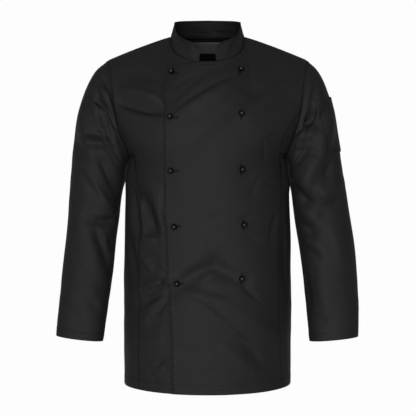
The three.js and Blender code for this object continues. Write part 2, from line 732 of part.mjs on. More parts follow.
// Where pieces meet, the wall of each goes in along one shared direction, and each is
// cut back by half of the seam gap to its own side of it. The pieces may meet flat, at
// a ridge such as the shoulder, or at a valley such as the underarm.
function joinSeams() {
  const seams = new Map();
  const sewn = cloth.filter((piece) => !piece.loose);
  for (const piece of cloth) piece.normals = normalsOf(piece.grid, piece.round);
  for (const piece of sewn) {
    piece.border = inwardSteps(piece);
    for (const { r, c, inward } of piece.border) {
      const key = placeKey(piece.grid[r][c]);
      if (!seams.has(key)) seams.set(key, { out: new THREE.Vector3(), into: new THREE.Vector3(), count: 0 });
      const seam = seams.get(key);
      seam.out.add(piece.normals[r][c]);
      seam.into.add(inward.clone().normalize());
      seam.count += 1;
    }
  }
  for (const piece of sewn) {
    for (const { r, c, inward } of piece.border) {
      const seam = seams.get(placeKey(piece.grid[r][c]));
      const own = piece.normals[r][c];
      const shared = own.clone();
      const step = inward.clone();
      if (seam.count > 1) {
        const bent = seam.count === 2 ? seam.into.length() / seam.out.length() : 0;
        const isValley = seam.out.dot(seam.into) > 0 || bent > 1;
        const valley = ease(bentSeam.from, bentSeam.to, bent) * (isValley ? 1 : -1);
        shared.copy(seam.out).addScaledVector(seam.into, valley).normalize();
        const reach = step.length();
        step.addScaledVector(own, -valley);
        step.addScaledVector(shared, -step.dot(shared)).setLength(reach);
      }
      piece.cuts = piece.cuts ?? [];
      piece.cuts.push({ r, c, step, shared });
    }
  }
  for (const piece of sewn) {
    for (const { r, c, step, shared } of piece.cuts) {
      piece.grid[r][c].addScaledVector(step, seamGap / 2);
      piece.normals[r][c] = shared;
    }
  }
}

function clothGeometry(piece) {
  const { grid, normals, round, thick, isMirrored } = piece;
  const rows = grid.length;
  const columns = grid[0].length;
  const positions = [];
  for (const depth of [0, thick]) {
    grid.forEach((row, r) => row.forEach((point, c) => {
      positions.push(...point.clone().addScaledVector(normals[r][c], -depth).toArray());
    }));
  }
  const outer = (r, c) => r * columns + c % columns;
  const inner = (r, c) => rows * columns + outer(r, c);
  const faces = [];
  const steps = round ? columns : columns - 1;
  for (let r = 0; r < rows - 1; r += 1) {
    for (let c = 0; c < steps; c += 1) {
      const [a, b, d, e] = isMirrored(c) ? [[r, c + 1], [r + 1, c + 1], [r + 1, c], [r, c]]
        : [[r, c], [r, c + 1], [r + 1, c + 1], [r + 1, c]];
      faces.push(outer(...a), outer(...b), outer(...d), outer(...a), outer(...d), outer(...e));
      faces.push(inner(...a), inner(...d), inner(...b), inner(...a), inner(...e), inner(...d));
    }
  }
  // An edge face splits from its upper outer point, so that both sides of a seam match.
  const rank = (r, c) => grid[r][c % columns].z + grid[r][c % columns].y / 3;
  const rim = (r1, c1, r2, c2) => {
    if (rank(r1, c1) > rank(r2, c2)) {
      faces.push(outer(r2, c2), outer(r1, c1), inner(r2, c2));
      faces.push(outer(r1, c1), inner(r1, c1), inner(r2, c2));
    } else {
      faces.push(outer(r2, c2), outer(r1, c1), inner(r1, c1));
      faces.push(outer(r2, c2), inner(r1, c1), inner(r2, c2));
    }
  };
  for (let c = 0; c < steps; c += 1) {
    rim(0, c, 0, c + 1);
    rim(rows - 1, c + 1, rows - 1, c);
  }
  for (let r = 0; r < rows - 1 && !round; r += 1) {
    rim(r, columns - 1, r + 1, columns - 1);
    rim(r + 1, 0, r, 0);
  }
  const geometry = new THREE.BufferGeometry();
  geometry.setAttribute('position', new THREE.Float32BufferAttribute(positions, 3));
  geometry.setIndex(faces);
  geometry.computeVertexNormals();
  return geometry;
}

// A stud: a glossy ball on a short neck, its axis along the cloth's normal.
function studGeometry() {
  const profile = [new THREE.Vector2(0, 0), new THREE.Vector2(stud.neckRadius, 0)];
  for (let k = 1; k <= stud.rings; k += 1) {
    const around = stud.startAngle + (Math.PI - stud.startAngle) * k / stud.rings;
    const radius = k === stud.rings ? 0 : stud.radius * Math.sin(around);
    profile.push(new THREE.Vector2(radius, stud.middle - stud.radius * Math.cos(around)));
  }
  return new THREE.LatheGeometry(profile, stud.sides);
}

// Where the top front crosses a place in the front view, and which way it faces.
function placeOnFront(x, z) {
  let low = 0;
  let high = studTopT;
  for (let i = 0; i < halvings; i += 1) {
    const middle = (low + high) / 2;
    if (bodyPlain(angleAt(Math.abs(x), middle, true), middle, true).z < z) low = middle;
    else high = middle;
  }
  const t = (low + high) / 2;
  const angle = angleAt(Math.abs(x), t, true) * Math.sign(x);
  const point = topFrontPoint(angle, t);
  const across = topFrontPoint(angle + 1, t).sub(topFrontPoint(angle - 1, t));
  const up = topFrontPoint(angle, t + 0.01).sub(topFrontPoint(angle, t - 0.01));
  return { point, normal: across.cross(up).normalize() };
}

// The face of a cloth solid that a place lies over.
function seatOn(mesh, place) {
  const from = place.point.clone().addScaledVector(place.normal, stud.search);
  const ray = new THREE.Raycaster(from, place.normal.clone().negate());
  const [hit] = ray.intersectObject(mesh);
  return { point: hit.point, normal: hit.face.normal.clone() };
}

const twill = new THREE.MeshStandardMaterial({ color: 0x2b2b2d, roughness: 0.8, metalness: 0 });
const studPlastic = new THREE.MeshStandardMaterial({ color: 0x0a0a0b, roughness: 0.15, metalness: 0 });
const labelSatin = new THREE.MeshStandardMaterial({ color: 0x3a3a3c, roughness: 0.55, metalness: 0 });

addCloth('front_left', frontGrid(1, frontSeamLeft, topFrontPoint), twill);
addCloth('front_right', frontGrid(-1, frontSeamRight, (angle, t) => bodyPoint(angle, t, true, true)), twill,
  { isMirrored: () => true });
addCloth('side_panel_left', sideGrid(1, frontSeamLeft), twill);
addCloth('side_panel_right', sideGrid(-1, frontSeamRight), twill, { isMirrored: () => true });
addCloth('back', backGrid(), twill, { isMirrored: (c) => c >= backMiddleColumn });
addCloth('sleeve_left', sleeveGrid(1, frontSeamLeft, sleeveLeft), twill, { round: true });
const rightSleeve = sleeveGrid(-1, frontSeamRight, sleeveRight);
addCloth('sleeve_right', rightSleeve, twill, { round: true, isMirrored: () => true });
addCloth('collar', collarGrid(), twill, { isMirrored: (c) => c < collarMiddleColumn });
addCloth('pen_pocket', pocketGrid(), twill, { loose: true });
addCloth('neck_label', labelGrid(), labelSatin, { loose: true, thick: label.thick });

const jacket = new THREE.Group();
joinSeams();
for (const piece of cloth) {
  const mesh = new THREE.Mesh(clothGeometry(piece), piece.material);
  mesh.name = piece.name;
  jacket.add(mesh);
}

for (const row of studPlaces) {
  row.places.forEach((place, index) => {
    const spot = placeOnFront(place.x, place.z);
    const { point, normal } = seatOn(jacket.getObjectByName('front_left'), spot);
    const mesh = new THREE.Mesh(studGeometry(), studPlastic);
    mesh.name = `stud_${row.name}_${index + 1}`;
    mesh.position.copy(point).addScaledVector(normal, stud.seat);
    mesh.quaternion.setFromUnitVectors(new THREE.Vector3(0, 1, 0), normal);
    jacket.add(mesh);
  });
}

export default jacket;
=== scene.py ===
"""A black double-breasted chef jacket in its hollow worn shape.

The cloth panels are worked out on grids with numpy, in millimetres, on the same
surfaces as the frame's solids, and put into meshes in metres. Creases, seams, hems
and stitches are added on top. The front faces -Y and the wearer's left is +X.
"""
import math

import bpy
import numpy as np
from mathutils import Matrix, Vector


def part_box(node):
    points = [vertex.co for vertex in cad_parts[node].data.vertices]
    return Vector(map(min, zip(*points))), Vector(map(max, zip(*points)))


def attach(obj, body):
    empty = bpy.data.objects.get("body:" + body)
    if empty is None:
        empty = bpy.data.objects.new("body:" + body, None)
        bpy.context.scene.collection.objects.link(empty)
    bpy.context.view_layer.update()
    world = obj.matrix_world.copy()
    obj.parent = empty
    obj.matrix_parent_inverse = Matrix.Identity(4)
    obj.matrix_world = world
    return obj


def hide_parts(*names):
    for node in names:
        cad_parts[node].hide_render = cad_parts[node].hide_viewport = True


bl_info = {
    "name": "Chef jacket",
    "version": (1, 0, 0),
    "blender": (4, 2, 0),
    "location": "View3D > Sidebar > Chef jacket",
    "description": "Builds a black double-breasted chef jacket on its frame",
    "category": "Object",
}

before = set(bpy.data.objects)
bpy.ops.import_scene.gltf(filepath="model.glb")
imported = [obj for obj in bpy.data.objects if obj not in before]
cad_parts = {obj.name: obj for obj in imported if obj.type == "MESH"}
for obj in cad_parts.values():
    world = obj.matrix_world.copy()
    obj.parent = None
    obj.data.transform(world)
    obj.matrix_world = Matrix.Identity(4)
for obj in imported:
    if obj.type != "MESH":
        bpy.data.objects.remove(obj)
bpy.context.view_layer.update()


def table(columns, rows):
    """A table with named columns, as one array for each name."""
    return dict(zip(columns.split(), np.array(rows, float).T))


# Form of the panels, as in the frame's solids, in millimetres and degrees.

NECK_HALF_WIDTH = 79
NECK_FRONT_DEPTH = 70
NECK_BACK_DEPTH = 60
NECK_FRONT_DROP = 62
NECK_POINT_Z = -2
NECK_BACK_RISE = 7
NECK_DROP_POWER = 0.7
NECK_ANGLE_FRONT = 40
NECK_ANGLE_BACK = 36
SHOULDER_X = 213
SHOULDER_Y = 5
SHOULDER_Z = -52
SHOULDER_CURVE = 1.15
UNDERARM_T = 0.66
UNDERARM_Z = -262
ARMHOLE_FRONT_REACH = 54
ARMHOLE_BACK_REACH = 60
TOP_BLEND_START = 0.7
OVERLAP_LIFT = 2.9

ARMHOLE = table("h x", [
    (0.0, 167), (0.13, 176), (0.27, 187), (0.45, 196), (0.69, 203), (0.89, 209), (1.0, 213),
])
# Levels of the body from the hem (t = 0) to the neckline (t = 1): heights of the
# front, side and back, half-width, depths, and how far round the level has curved at
# its side edge.
LEVELS = table("t z_front z_side z_back half front back turn", [
    (0.0, -752, -744, -748, 178, 127, 121, 90),
    (0.18, -614, -608, -612, 179.5, 125, 119, 90),
    (0.42, -432, -430, -432, 178, 119, 106, 90),
    (0.56, -325, -330, -322, 174.5, 122, 113, 90),
    (0.66, -251, -262, -244, 167, 120, 117, 90),
    (0.76, -198, -200, -176, 188, 115, 117, 78),
    (0.88, -131, -126, -88, 202, 98, 101, 64),
    (1.0, -64, -52, 5, 213, 70, 60, 60),
])
# Princess seams: how far round each level they lie.
FRONT_SEAM_LEFT = table("t angle", [
    (0.0, 62.5), (0.18, 57.5), (0.42, 58.5), (0.56, 64), (0.66, 68), (0.75, 73), (0.815, 90),
])
FRONT_SEAM_RIGHT = table("t angle", [
    (0.0, 54.5), (0.18, 53.7), (0.42, 54.3), (0.56, 57.5), (0.65, 68), (0.71, 76), (0.775, 90),
])
BACK_SEAM = table("t angle", [(0.0, 54), (0.42, 52), (0.6, 57), (0.72, 68), (0.8, 90)])
CLOSING_EDGE = table("z x", [
    (-752, 74), (-640, 75.5), (-520, 82.5), (-360, 88), (-165, 90), (-60, 87),
])
CLOSING_TOP_Z = -64
CLOSING_TOP_FALL = 7
NECK_COLUMN_AT_HEM = 33

SLEEVE_COLUMNS = "row out_x out_z in_x in_z front back mid"
SLEEVE_LEFT = table(SLEEVE_COLUMNS, [
    (0, 213, -52, 167, -262, 54, 60, 2),
    (1, 234, -72, 170.4, -266, 57, 63, 1),
    (2, 250, -99, 173, -271, 60, 66, 1),
    (3, 263, -134, 175, -278, 62, 67, 2),
    (4, 273, -178, 177, -290, 63, 66, 4),
    (5, 283, -236, 178.4, -310, 62, 63, 6),
    (6, 293, -302, 181.5, -345, 59, 59, 8),
    (7, 304, -368, 187, -392, 56, 56, 7),
    (8, 314, -440, 197, -452, 53, 53, 1),
    (9, 320, -512, 205, -522, 48, 48, -9),
    (10, 322, -580, 211, -590, 43, 43, -20),
    (11, 319.5, -642, 216.5, -652, 37, 38, -30),
])
SLEEVE_RIGHT = table(SLEEVE_COLUMNS, [
    (0, 213, -52, 167, -262, 54, 60, 2),
    (1, 239, -75, 170.4, -266, 57, 63, 1),
    (2, 256, -103, 173, -271, 60, 66, 1),
    (3, 270, -138, 175, -278, 62, 67, 2),
    (4, 281, -182, 177.4, -290, 63, 66, 4),
    (5, 289, -238, 180, -310, 62, 63, 6),
    (6, 294, -302, 185.5, -345, 59, 59, 8),
    (7, 299, -368, 190.5, -392, 56, 56, 7),
    (8, 304.5, -440, 197, -452, 53, 53, 1),
    (9, 311.5, -512, 204.5, -522, 48, 48, -9),
    (10, 317, -580, 213, -590, 43, 43, -20),
    (11, 321, -640, 222, -652, 37, 38, -30),
])
SEAM_FOLLOW = 0.22
SLEEVE_FULLNESS = 0.92
SLEEVE_LENGTH = 620
SWELL_TURN = 224
SWELL_WIDE = 30
SWELL_DEEP = 15
SWELL_FROM = 0.08
SWELL_FULL = 0.26
SWELL_WANE = 0.42
SWELL_TO = 0.56

COLLAR_RING = table("ring tall lean", [
    (0, 36, 7), (45, 38, 8), (90, 32, 9), (135, 35, 6), (180, 37, 3),
])
COLLAR_ROUND = 20

POCKET_TOP = -134
POCKET_BOTTOM = -249
POCKET_TURN_FRONT = 66
POCKET_TURN_BACK = -30
POCKET_GAP = 1.2
POCKET_EDGE_UP = 0.3
LABEL_TOP_T = 0.988
LABEL_BOTTOM_T = 0.958
LABEL_ANGLE = 10
LABEL_GAP = 1.6
WALL = 1.5

STUD_RADIUS = 6.5
STUD_MIDDLE = 6

# Folds and creases.

FOLD_COLUMNS = "x1 z1 x2 z2 wide high"
# Largest folds, the same as in the solids: from one point to the other as seen from
# the front or the back, half-width, and height (less than 0 is a trough).
FRONT_FOLDS = table(FOLD_COLUMNS, [
    (-205, -78, -98, -126, 20, 3.5),
    (-198, -121, -98, -165, 20, -4),
    (-68, -180, 62, -92, 20, 3.5),
    (-30, -232, 66, -150, 18, -3),
    (82, -178, 182, -110, 24, 3.5),
    (86, -296, 165, -232, 22, -3.5),
    (-152, -335, -110, -415, 20, -5),
    (-128, -322, -84, -395, 18, 4),
    (-150, -540, -84, -520, 18, 4),
    (-146, -572, -84, -545, 18, -4),
    (-64, -532, 20, -482, 20, -4.5),
    (12, -482, 70, -520, 18, -4),
    (-10, -600, 118, -690, 24, -4),
    (20, -560, 140, -640, 24, 3.5),
])
BACK_FOLDS = table(FOLD_COLUMNS, [
    (-150, -130, -60, -230, 24, 4),
    (150, -125, 66, -236, 24, 4),
    (-120, -360, 40, -400, 24, -5),
    (-40, -438, 128, -410, 24, -5),
    (-130, -470, 30, -480, 22, 4),
    (-20, -560, -60, -720, 28, 4),
    (60, -550, 80, -720, 28, -4),
])
# The sleeves' largest folds: how far round, and how far down as a height.
SLEEVE_FOLDS = table(FOLD_COLUMNS, [
    (turn1, -along1 * SLEEVE_LENGTH, turn2, -along2 * SLEEVE_LENGTH, wide, high)
    for along1, turn1, along2, turn2, wide, high in [
        (0.12, 60, 0.3, 130, 20, -5),
        (0.25, 40, 0.36, 125, 20, -4),
        (0.34, 40, 0.52, 120, 22, 4.5),
        (0.42, 30, 0.6, 140, 18, -5),
        (0.62, 60, 0.7, 150, 18, -4),
        (0.2, 235, 0.34, 300, 22, -5),
        (0.46, 215, 0.56, 310, 20, -5),
        (0.55, 220, 0.63, 300, 18, 4),
    ]
])

CREASE_COLUMNS = "x1 z1 x2 z2 wide high bend"
# Creases placed as the cloth shows them, in millimetres: ends, half-width,
# height (less than 0 is a trough) and how far the middle bends to one side.
FRONT_CREASES = table(CREASE_COLUMNS, [
    (-190, -116, -94, -147, 11.0, 4.8, -4),
    (-196, -146, -88, -174, 8.0, -4.8, 4),
    (-178, -88, -96, -108, 12.0, -2.0, -4),
    (-71, -172, 63, -89, 5.0, -2.0, -6),
    (-49, -163, 63, -106, 10.3, 1.6, -2),
    (-65, -145, 9, -77, 6.2, -1.0, -2),
    (-75, -122, -20, -91, 4.5, -0.8, 0),
    (9, -83, 61, -68, 6.2, -1.0, 0),
    (63, -114, 112, -141, 14.4, -1.8, 0),
    (88, -163, 183, -93, 10.3, 1.4, 0),
    (121, -225, 156, -217, 4.1, -1.3, -2),
    (117, -227, 119, -271, 3.7, -0.9, 0),
    (112, -304, 152, -324, 5.0, -0.8, 4),
    (108, -304, 86, -349, 6.2, -1.1, 0),
    (59, -401, 94, -388, 3.5, -1.6, -3),
    (-15, -401, 34, -382, 6.2, -0.7, 0),
    (-49, -411, -11, -436, 8.3, -0.9, 0),
    (75, -419, 112, -446, 6.2, -1.0, 0),
    (-66, -532, 72, -514, 15.0, -3.8, -26),
    (-18, -520, 20, -500, 6.0, 1.4, -2),
    (-20, -530, 62, -542, 11.0, -2.4, 6),
    (-52, -541, 34, -562, 10.3, 1.8, 0),
    (69, -524, 106, -560, 4.4, -2.8, 0),
    (-14, -566, 58, -628, 6.5, -1.8, -3),
    (52, -622, 112, -692, 7.4, -2.4, -5),
    (20, -640, 92, -700, 11.0, 1.6, 0),
    (75, -595, 150, -636, 10.3, 1.0, 0),
    (-57, -657, -15, -669, 12.4, -1.2, 0),
    (-3, -651, 67, -644, 12.4, -1.2, 0),
    (59, -727, 104, -743, 6.2, -0.8, 0),
    (-15, -704, 13, -679, 10.3, 0.8, 0),
    (-139, -537, -82, -520, 5.4, 2.4, 0),
    (-119, -483, -82, -508, 5.4, -2.2, 0),
    (-135, -564, -82, -535, 5.0, -2.4, 2),
    (-139, -591, -82, -547, 5.4, 1.9, 2),
    (-119, -597, -79, -556, 4.5, -2.2, 2),
    (-141, -607, -106, -582, 5.4, 1.6, 0),
    (-139, -473, -112, -502, 4.5, 1.5, 0),
    (-139, -454, -94, -481, 6.2, -1.4, 0),
    (-129, -617, -94, -599, 6.2, -1.4, 0),
    (-135, -653, -77, -636, 8.3, 1.3, 0),
    (-110, -698, -77, -669, 6.2, -2.2, 0),
    (-123, -698, -102, -735, 5.0, -1.0, 0),
    (-102, -704, -77, -696, 6.2, 1.4, 0),
    (-153, -341, -142, -430, 6.6, -4.2, 2),
    (-134, -345, -106, -430, 9.4, -4.6, 0),
    (-146, -345, -130, -421, 3.0, 2.0, 0),
    (-118, -330, -90, -424, 6.0, 1.6, 0),
    (-146, -438, -100, -434, 5.4, 2.6, 0),
    (-133, -320, -90, -382, 8.3, -1.2, 0),
    (-166, -423, -148, -512, 5.4, -2.4, 0),
    (-164, -560, -158, -653, 6.2, -1.4, 0),
    (141, -382, 129, -438, 5.0, -1.4, 0),
    (160, -403, 166, -560, 5.8, -1.8, 0),
    (156, -622, 162, -725, 6.2, -1.2, 0),
    (-148, -642, -119, -667, 6.2, 1.0, 0),
    (-148, -708, -119, -684, 6.2, -1.0, 0),
])
SLEEVE_RIGHT_CREASES = table(CREASE_COLUMNS, [
    (-240, -112, -192, -172, 12.0, 2.4, -10),
    (-248, -138, -197, -198, 6.5, -3.0, -10),
    (-240, -166, -208, -204, 14.0, -1.8, -4),
    (-226, -91, -203, -124, 8.0, -1.4, 0),
    (-264, -208, -213, -217, 9.0, -2.4, 2),
    (-270, -228, -206, -235, 11.0, 3.4, 3),
    (-230, -254, -197, -346, 18.0, -4.8, -4),
    (-263, -276, -201, -384, 14.0, 4.0, -3),
    (-262, -296, -228, -350, 6.0, -1.0, 0),
    (-246, -392, -191, -386, 8.0, -4.6, 9),
    (-241, -404, -207, -500, 10.0, -3.6, -4),
    (-209, -428, -196, -471, 5.0, -1.4, 0),
    (-207, -485, -191, -481, 2.5, 1.6, 0),
    (-205, -498, -191, -496, 2.5, 1.4, 0),
    (-214, -512, -195, -508, 3.3, -1.6, 0),
    (-278, -524, -236, -566, 14.0, 1.2, 0),
    (-256, -546, -226, -588, 9.0, -1.2, 0),
    (-290, -450, -256, -490, 15.0, -1.2, 0),
    (-284, -364, -257, -384, 13.0, 1.2, 0),
    (-296, -572, -258, -622, 13.0, -1.1, 0),
])
SLEEVE_LEFT_CREASES = table(CREASE_COLUMNS, [
    (242, -129, 183, -214, 6.5, -4.2, -12),
    (236, -152, 208, -190, 13.0, -1.8, -4),
    (197, -188, 240, -190, 8.0, -1.6, 3),
    (190, -222, 236, -216, 10.0, 2.0, 0),
    (190, -250, 246, -262, 9.5, -2.2, -5),
    (262, -274, 247, -314, 9.0, -2.2, 2),
    (176, -284, 236, -340, 19.0, 3.4, 5),
    (230, -344, 284, -318, 15.0, 2.8, 5),
    (181, -312, 236, -369, 7.0, -1.8, 6),
    (230, -373, 281, -346, 6.0, -1.6, 5),
    (184, -364, 240, -406, 13.0, 2.8, 0),
    (187, -392, 237, -431, 6.0, -1.8, 0),
    (196, -438, 246, -460, 10.0, 1.6, -3),
    (197, -457, 242, -479, 5.5, -1.6, -4),
    (202, -482, 217, -584, 9.0, -2.2, 0),
    (236, -500, 250, -590, 16.0, 1.2, 4),
    (262, -410, 282, -476, 13.0, 1.0, 0),
    (214, -596, 256, -608, 9.0, -1.0, 0),
])
# Similar creases where the jacket isn't shown: the back, and the backs of the sleeves.
BACK_CREASES = table(CREASE_COLUMNS, [
    (-172, -118, -96, -206, 9.0, 2.2, 8),
    (-150, -152, -88, -214, 6.0, -1.8, 6),
    (168, -112, 92, -214, 10.0, 2.0, -9),
    (144, -160, 80, -226, 6.5, -1.9, -5),
    (-74, -58, -20, -96, 7.0, -1.1, 4),
    (60, -50, 18, -92, 8.0, -1.0, -5),
    (-96, -262, -18, -300, 8.0, -1.2, 10),
    (30, -288, 112, -262, 7.0, -1.3, -8),
    (-140, -338, -70, -384, 5.5, -2.2, 6),
    (-128, -372, -24, -404, 4.5, 1.8, -8),
    (-60, -430, 44, -446, 6.0, -1.9, 9),
    (20, -392, 126, -372, 5.0, -2.0, -10),
    (64, -418, 140, -396, 4.5, 1.9, -5),
    (-112, -452, -40, -486, 5.0, -1.5, 5),
    (48, -470, 132, -500, 6.5, 1.6, 6),
    (-20, -512, 66, -540, 7.0, -1.2, -7),
    (-130, -560, -104, -640, 7.0, 1.5, 4),
    (-88, -600, -70, -716, 8.0, -1.8, -6),
    (-10, -610, 2, -735, 9.0, 1.4, 5),
    (42, -640, 38, -740, 6.0, -1.4, -4),
    (104, -586, 120, -700, 8.0, 1.6, 6),
    (138, -520, 146, -640, 5.0, -1.5, -4),
    (-152, -430, -138, -540, 5.0, -1.6, 4),
])
SLEEVE_RIGHT_BACK_CREASES = table(CREASE_COLUMNS, [
    (-244, -118, -196, -172, 6.0, -2.6, 8),
    (-262, -170, -192, -212, 6.5, 2.0, 7),
    (-270, -214, -190, -262, 5.5, -2.8, 9),
    (-280, -286, -206, -330, 6.0, 1.6, 6),
    (-286, -350, -204, -392, 5.0, -2.8, 8),
    (-284, -384, -212, -408, 4.0, 2.2, 5),
    (-276, -404, -206, -440, 4.5, -2.2, 6),
    (-262, -430, -214, -482, 5.0, 1.4, 4),
    (-300, -500, -240, -560, 8.0, -1.0, 5),
    (-250, -560, -236, -620, 6.0, 0.9, 3),
])
SLEEVE_LEFT_BACK_CREASES = table(CREASE_COLUMNS, [
    (240, -112, 194, -178, 6.5, -2.4, -9),
    (258, -178, 190, -224, 6.0, 1.9, -6),
    (268, -232, 192, -270, 5.0, -2.6, -8),
    (284, -300, 208, -338, 6.5, 1.5, -7),
    (290, -362, 206, -396, 5.5, -2.9, -7),
    (292, -394, 216, -420, 4.5, 2.0, -6),
    (286, -420, 214, -458, 4.0, -2.0, -5),
    (268, -448, 222, -500, 5.5, 1.3, -5),
    (306, -520, 262, -580, 8.0, -1.1, -4),
])

# Creases of the stand collar: its front, and its back as seen inside.
COLLAR_CREASES = table(CREASE_COLUMNS, [
    (-72, -2, -42, -44, 8.0, -3.4, -3),
    (-54, -6, -28, -40, 6.5, 2.6, -2),
    (-40, -12, -20, -34, 4.5, -1.4, 0),
    (76, -2, 50, -42, 8.0, -3.4, 3),
    (58, -10, 38, -40, 5.5, 2.2, 2),
    (42, -16, 22, -44, 5.0, -2.0, 0),
])
COLLAR_BACK_CREASES = table(CREASE_COLUMNS, [
    (-46, 20, 30, 14, 4.5, 3.0, -3),
    (-52, 8, 44, 24, 5.0, -2.8, 3),
    (10, 22, 56, 12, 4.0, 2.4, 2),
    (-40, 4, 20, 4, 4.5, -2.2, 0),
])

STEEP_SIDE = 0.75
SOFT_SIDE = 1.35
# Above this height the cloth itself faces up, and creases are steep on their other side.
UPRIGHT_BELOW = -172
BODY_DEPTH = 1.75
BODY_WIDE = 1.2
SLEEVE_DEPTH = 2.4
CLOSING_LIMIT = -76
# Loose cloth under the arms: the side panels swell in front, the sleeves behind.
UNDERARM_OUT = 5
UNDERARM_Y = -26
UNDERARM_IN = 6
UNDERARM_TURN = 212

# Sewing, in millimetres.

HEM_STITCH = 19
CUFF_STITCH = 16
CLOSING_STITCH = 4.5
DOUBLE_STITCH = 8
TOP_STITCH = 1.8
SEAM_STITCH = 2.2
COLLAR_STITCH = 4
POCKET_STITCH = 1.8
STITCH_PITCH = 3.0
STITCH_LENGTH = 2.3
STITCH_RADIUS = 0.32
EDGE_CUT = 0.05
# Relief along a seam or hem: how far its edge rolls in, its stitched groove and gathers.
ROLL_WIDE = 1.6
GROOVE_DEEP = 0.4
GROOVE_WIDE = 1.0
GATHER_WIDE = 7
HEM_THICKER = 0.45
HEM_GROOVE_DEEP = 0.55


def ease(start, end, at):
    """A smooth step from 0 to 1 as a value goes from start to end, either way."""
    s = np.clip((at - start) / (end - start), 0, 1)
    return s * s * (3 - 2 * s)


def from_table(rows, key, at, column):
    """A smooth value through the rows of a table, with slopes shared by neighbours."""
    keys = rows[key]
    values = rows[column]
    at = np.asarray(at, float)
    i = np.clip(np.searchsorted(keys, at) - 1, 0, len(keys) - 2)
    slopes = np.diff(values) / np.diff(keys)
    here = slopes[i]
    before = (slopes[np.maximum(i - 1, 0)] + here) / 2
    after = (slopes[np.minimum(i + 1, len(slopes) - 1)] + here) / 2
    gap = keys[i + 1] - keys[i]
    s = np.clip((at - keys[i]) / gap, 0, 1)
    ends = values[i] + (values[i + 1] - values[i]) * s * s * (3 - 2 * s)
    return ends + gap * s * (1 - s) * (before * (1 - s) - after * s)


def stack(x, y, z):
    """Points from their three coordinates, spread to one shape."""
    return np.stack(np.broadcast_arrays(x, y, z), axis=-1).astype(float)


def unit(vectors):
    """Vectors scaled to length 1."""
    return vectors / np.maximum(np.linalg.norm(vectors, axis=-1, keepdims=True), 1e-9)


def fold_height(folds, x, z):
    """Sum of soft ridges: each is a bell across its line that dies away past its ends."""
    height = np.zeros(np.broadcast(x, z).shape)
    for x1, z1, x2, z2, wide, high in zip(*(folds[c] for c in FOLD_COLUMNS.split())):
        length = math.hypot(x2 - x1, z2 - z1)
        along = ((x - x1) * (x2 - x1) + (z - z1) * (z2 - z1)) / length
        across = ((x - x1) * (z2 - z1) - (z - z1) * (x2 - x1)) / length
        over = np.maximum(0, np.maximum(-along, along - length))
        height = height + high * np.exp(-(across ** 2 + over ** 2) / wide ** 2)
    return height


def crease_height(creases, x, z, widen=1.0):
    """Sum of creases: each is a bell across a bowed line, steep on one side and soft on
    the other (on upright cloth a trough is steep above it, a ridge below), and it
    narrows and fades towards its ends."""
    height = np.zeros(np.broadcast(x, z).shape)
    for x1, z1, x2, z2, wide, high, bend in zip(*(creases[c] for c in CREASE_COLUMNS.split())):
        length = math.hypot(x2 - x1, z2 - z1)
        s = ((x - x1) * (x2 - x1) + (z - z1) * (z2 - z1)) / length ** 2
        across = ((x - x1) * (z2 - z1) - (z - z1) * (x2 - x1)) / length
        inside = np.clip(s, 0, 1)
        across = across - 4 * bend * inside * (1 - inside)
        past = np.maximum(0, np.maximum(-s, s - 1)) * length
        width = widen * wide * (0.75 + 1.1 * inside * (1 - inside))
        above = (1 if x2 >= x1 else -1) * (1 if z1 + z2 > 2 * UPRIGHT_BELOW else -1)
        steep = across * above * (1 if high < 0 else -1) > 0
        bell = np.exp(-(across / width / np.where(steep, STEEP_SIDE, SOFT_SIDE)) ** 2)
        fade = (0.35 + 0.65 * ease(0, 0.3, s) * ease(1, 0.7, s)) * np.exp(-(past / (1.3 * wide)) ** 2)
        height = height + high * bell * fade
    return height


def ripple(x, y, z):
    """Faint uneven waves of the whole cloth: three crossed sines of unlike lengths."""
    return (0.28 * np.sin(x / 17 + z / 41 + 1.7 * np.sin(z / 83))
            + 0.24 * np.sin(z / 23 - x / 37 + y / 29 + 1.3 * np.sin(x / 61))
            + 0.16 * np.sin((x + z) / 11 + 2.1 * np.sin(y / 31 + z / 47)))


def armhole_point(h, is_front):
    """The armhole's edge: a half ellipse in depth over its height."""
    reach = -ARMHOLE_FRONT_REACH if is_front else ARMHOLE_BACK_REACH
    y = reach * 2 * np.sqrt(np.maximum(0, h * (1 - h))) + SHOULDER_Y * h
    return stack(from_table(ARMHOLE, "h", h, "x"), y, UNDERARM_Z + (SHOULDER_Z - UNDERARM_Z) * h)


def height_in_armhole(t):
    """How far up the armhole a level lies."""
    return np.maximum(0, (t - UNDERARM_T) / (1 - UNDERARM_T))


def top_edge(angle, is_front):
    """The upper edge of the body: an oval neckline, then the shoulder line."""
    neck_angle = NECK_ANGLE_FRONT if is_front else NECK_ANGLE_BACK
    around = np.radians(90 * np.minimum(angle, neck_angle) / neck_angle)
    c = np.maximum(0, np.cos(around))
    if is_front:
        neck = stack(NECK_HALF_WIDTH * np.sin(around), -NECK_FRONT_DEPTH * c,
                     NECK_POINT_Z - NECK_FRONT_DROP * c ** NECK_DROP_POWER)
    else:
        neck = stack(NECK_HALF_WIDTH * np.sin(around), NECK_BACK_DEPTH * c,
                     NECK_POINT_Z + NECK_BACK_RISE * c)
    q = np.clip((angle - neck_angle) / (90 - neck_angle), 0, 1)
    slope = stack(NECK_HALF_WIDTH + (SHOULDER_X - NECK_HALF_WIDTH) * q, SHOULDER_Y * q,
                  NECK_POINT_Z + (SHOULDER_Z - NECK_POINT_Z) * q ** SHOULDER_CURVE)
    return np.where((angle <= neck_angle)[..., None], neck, slope)


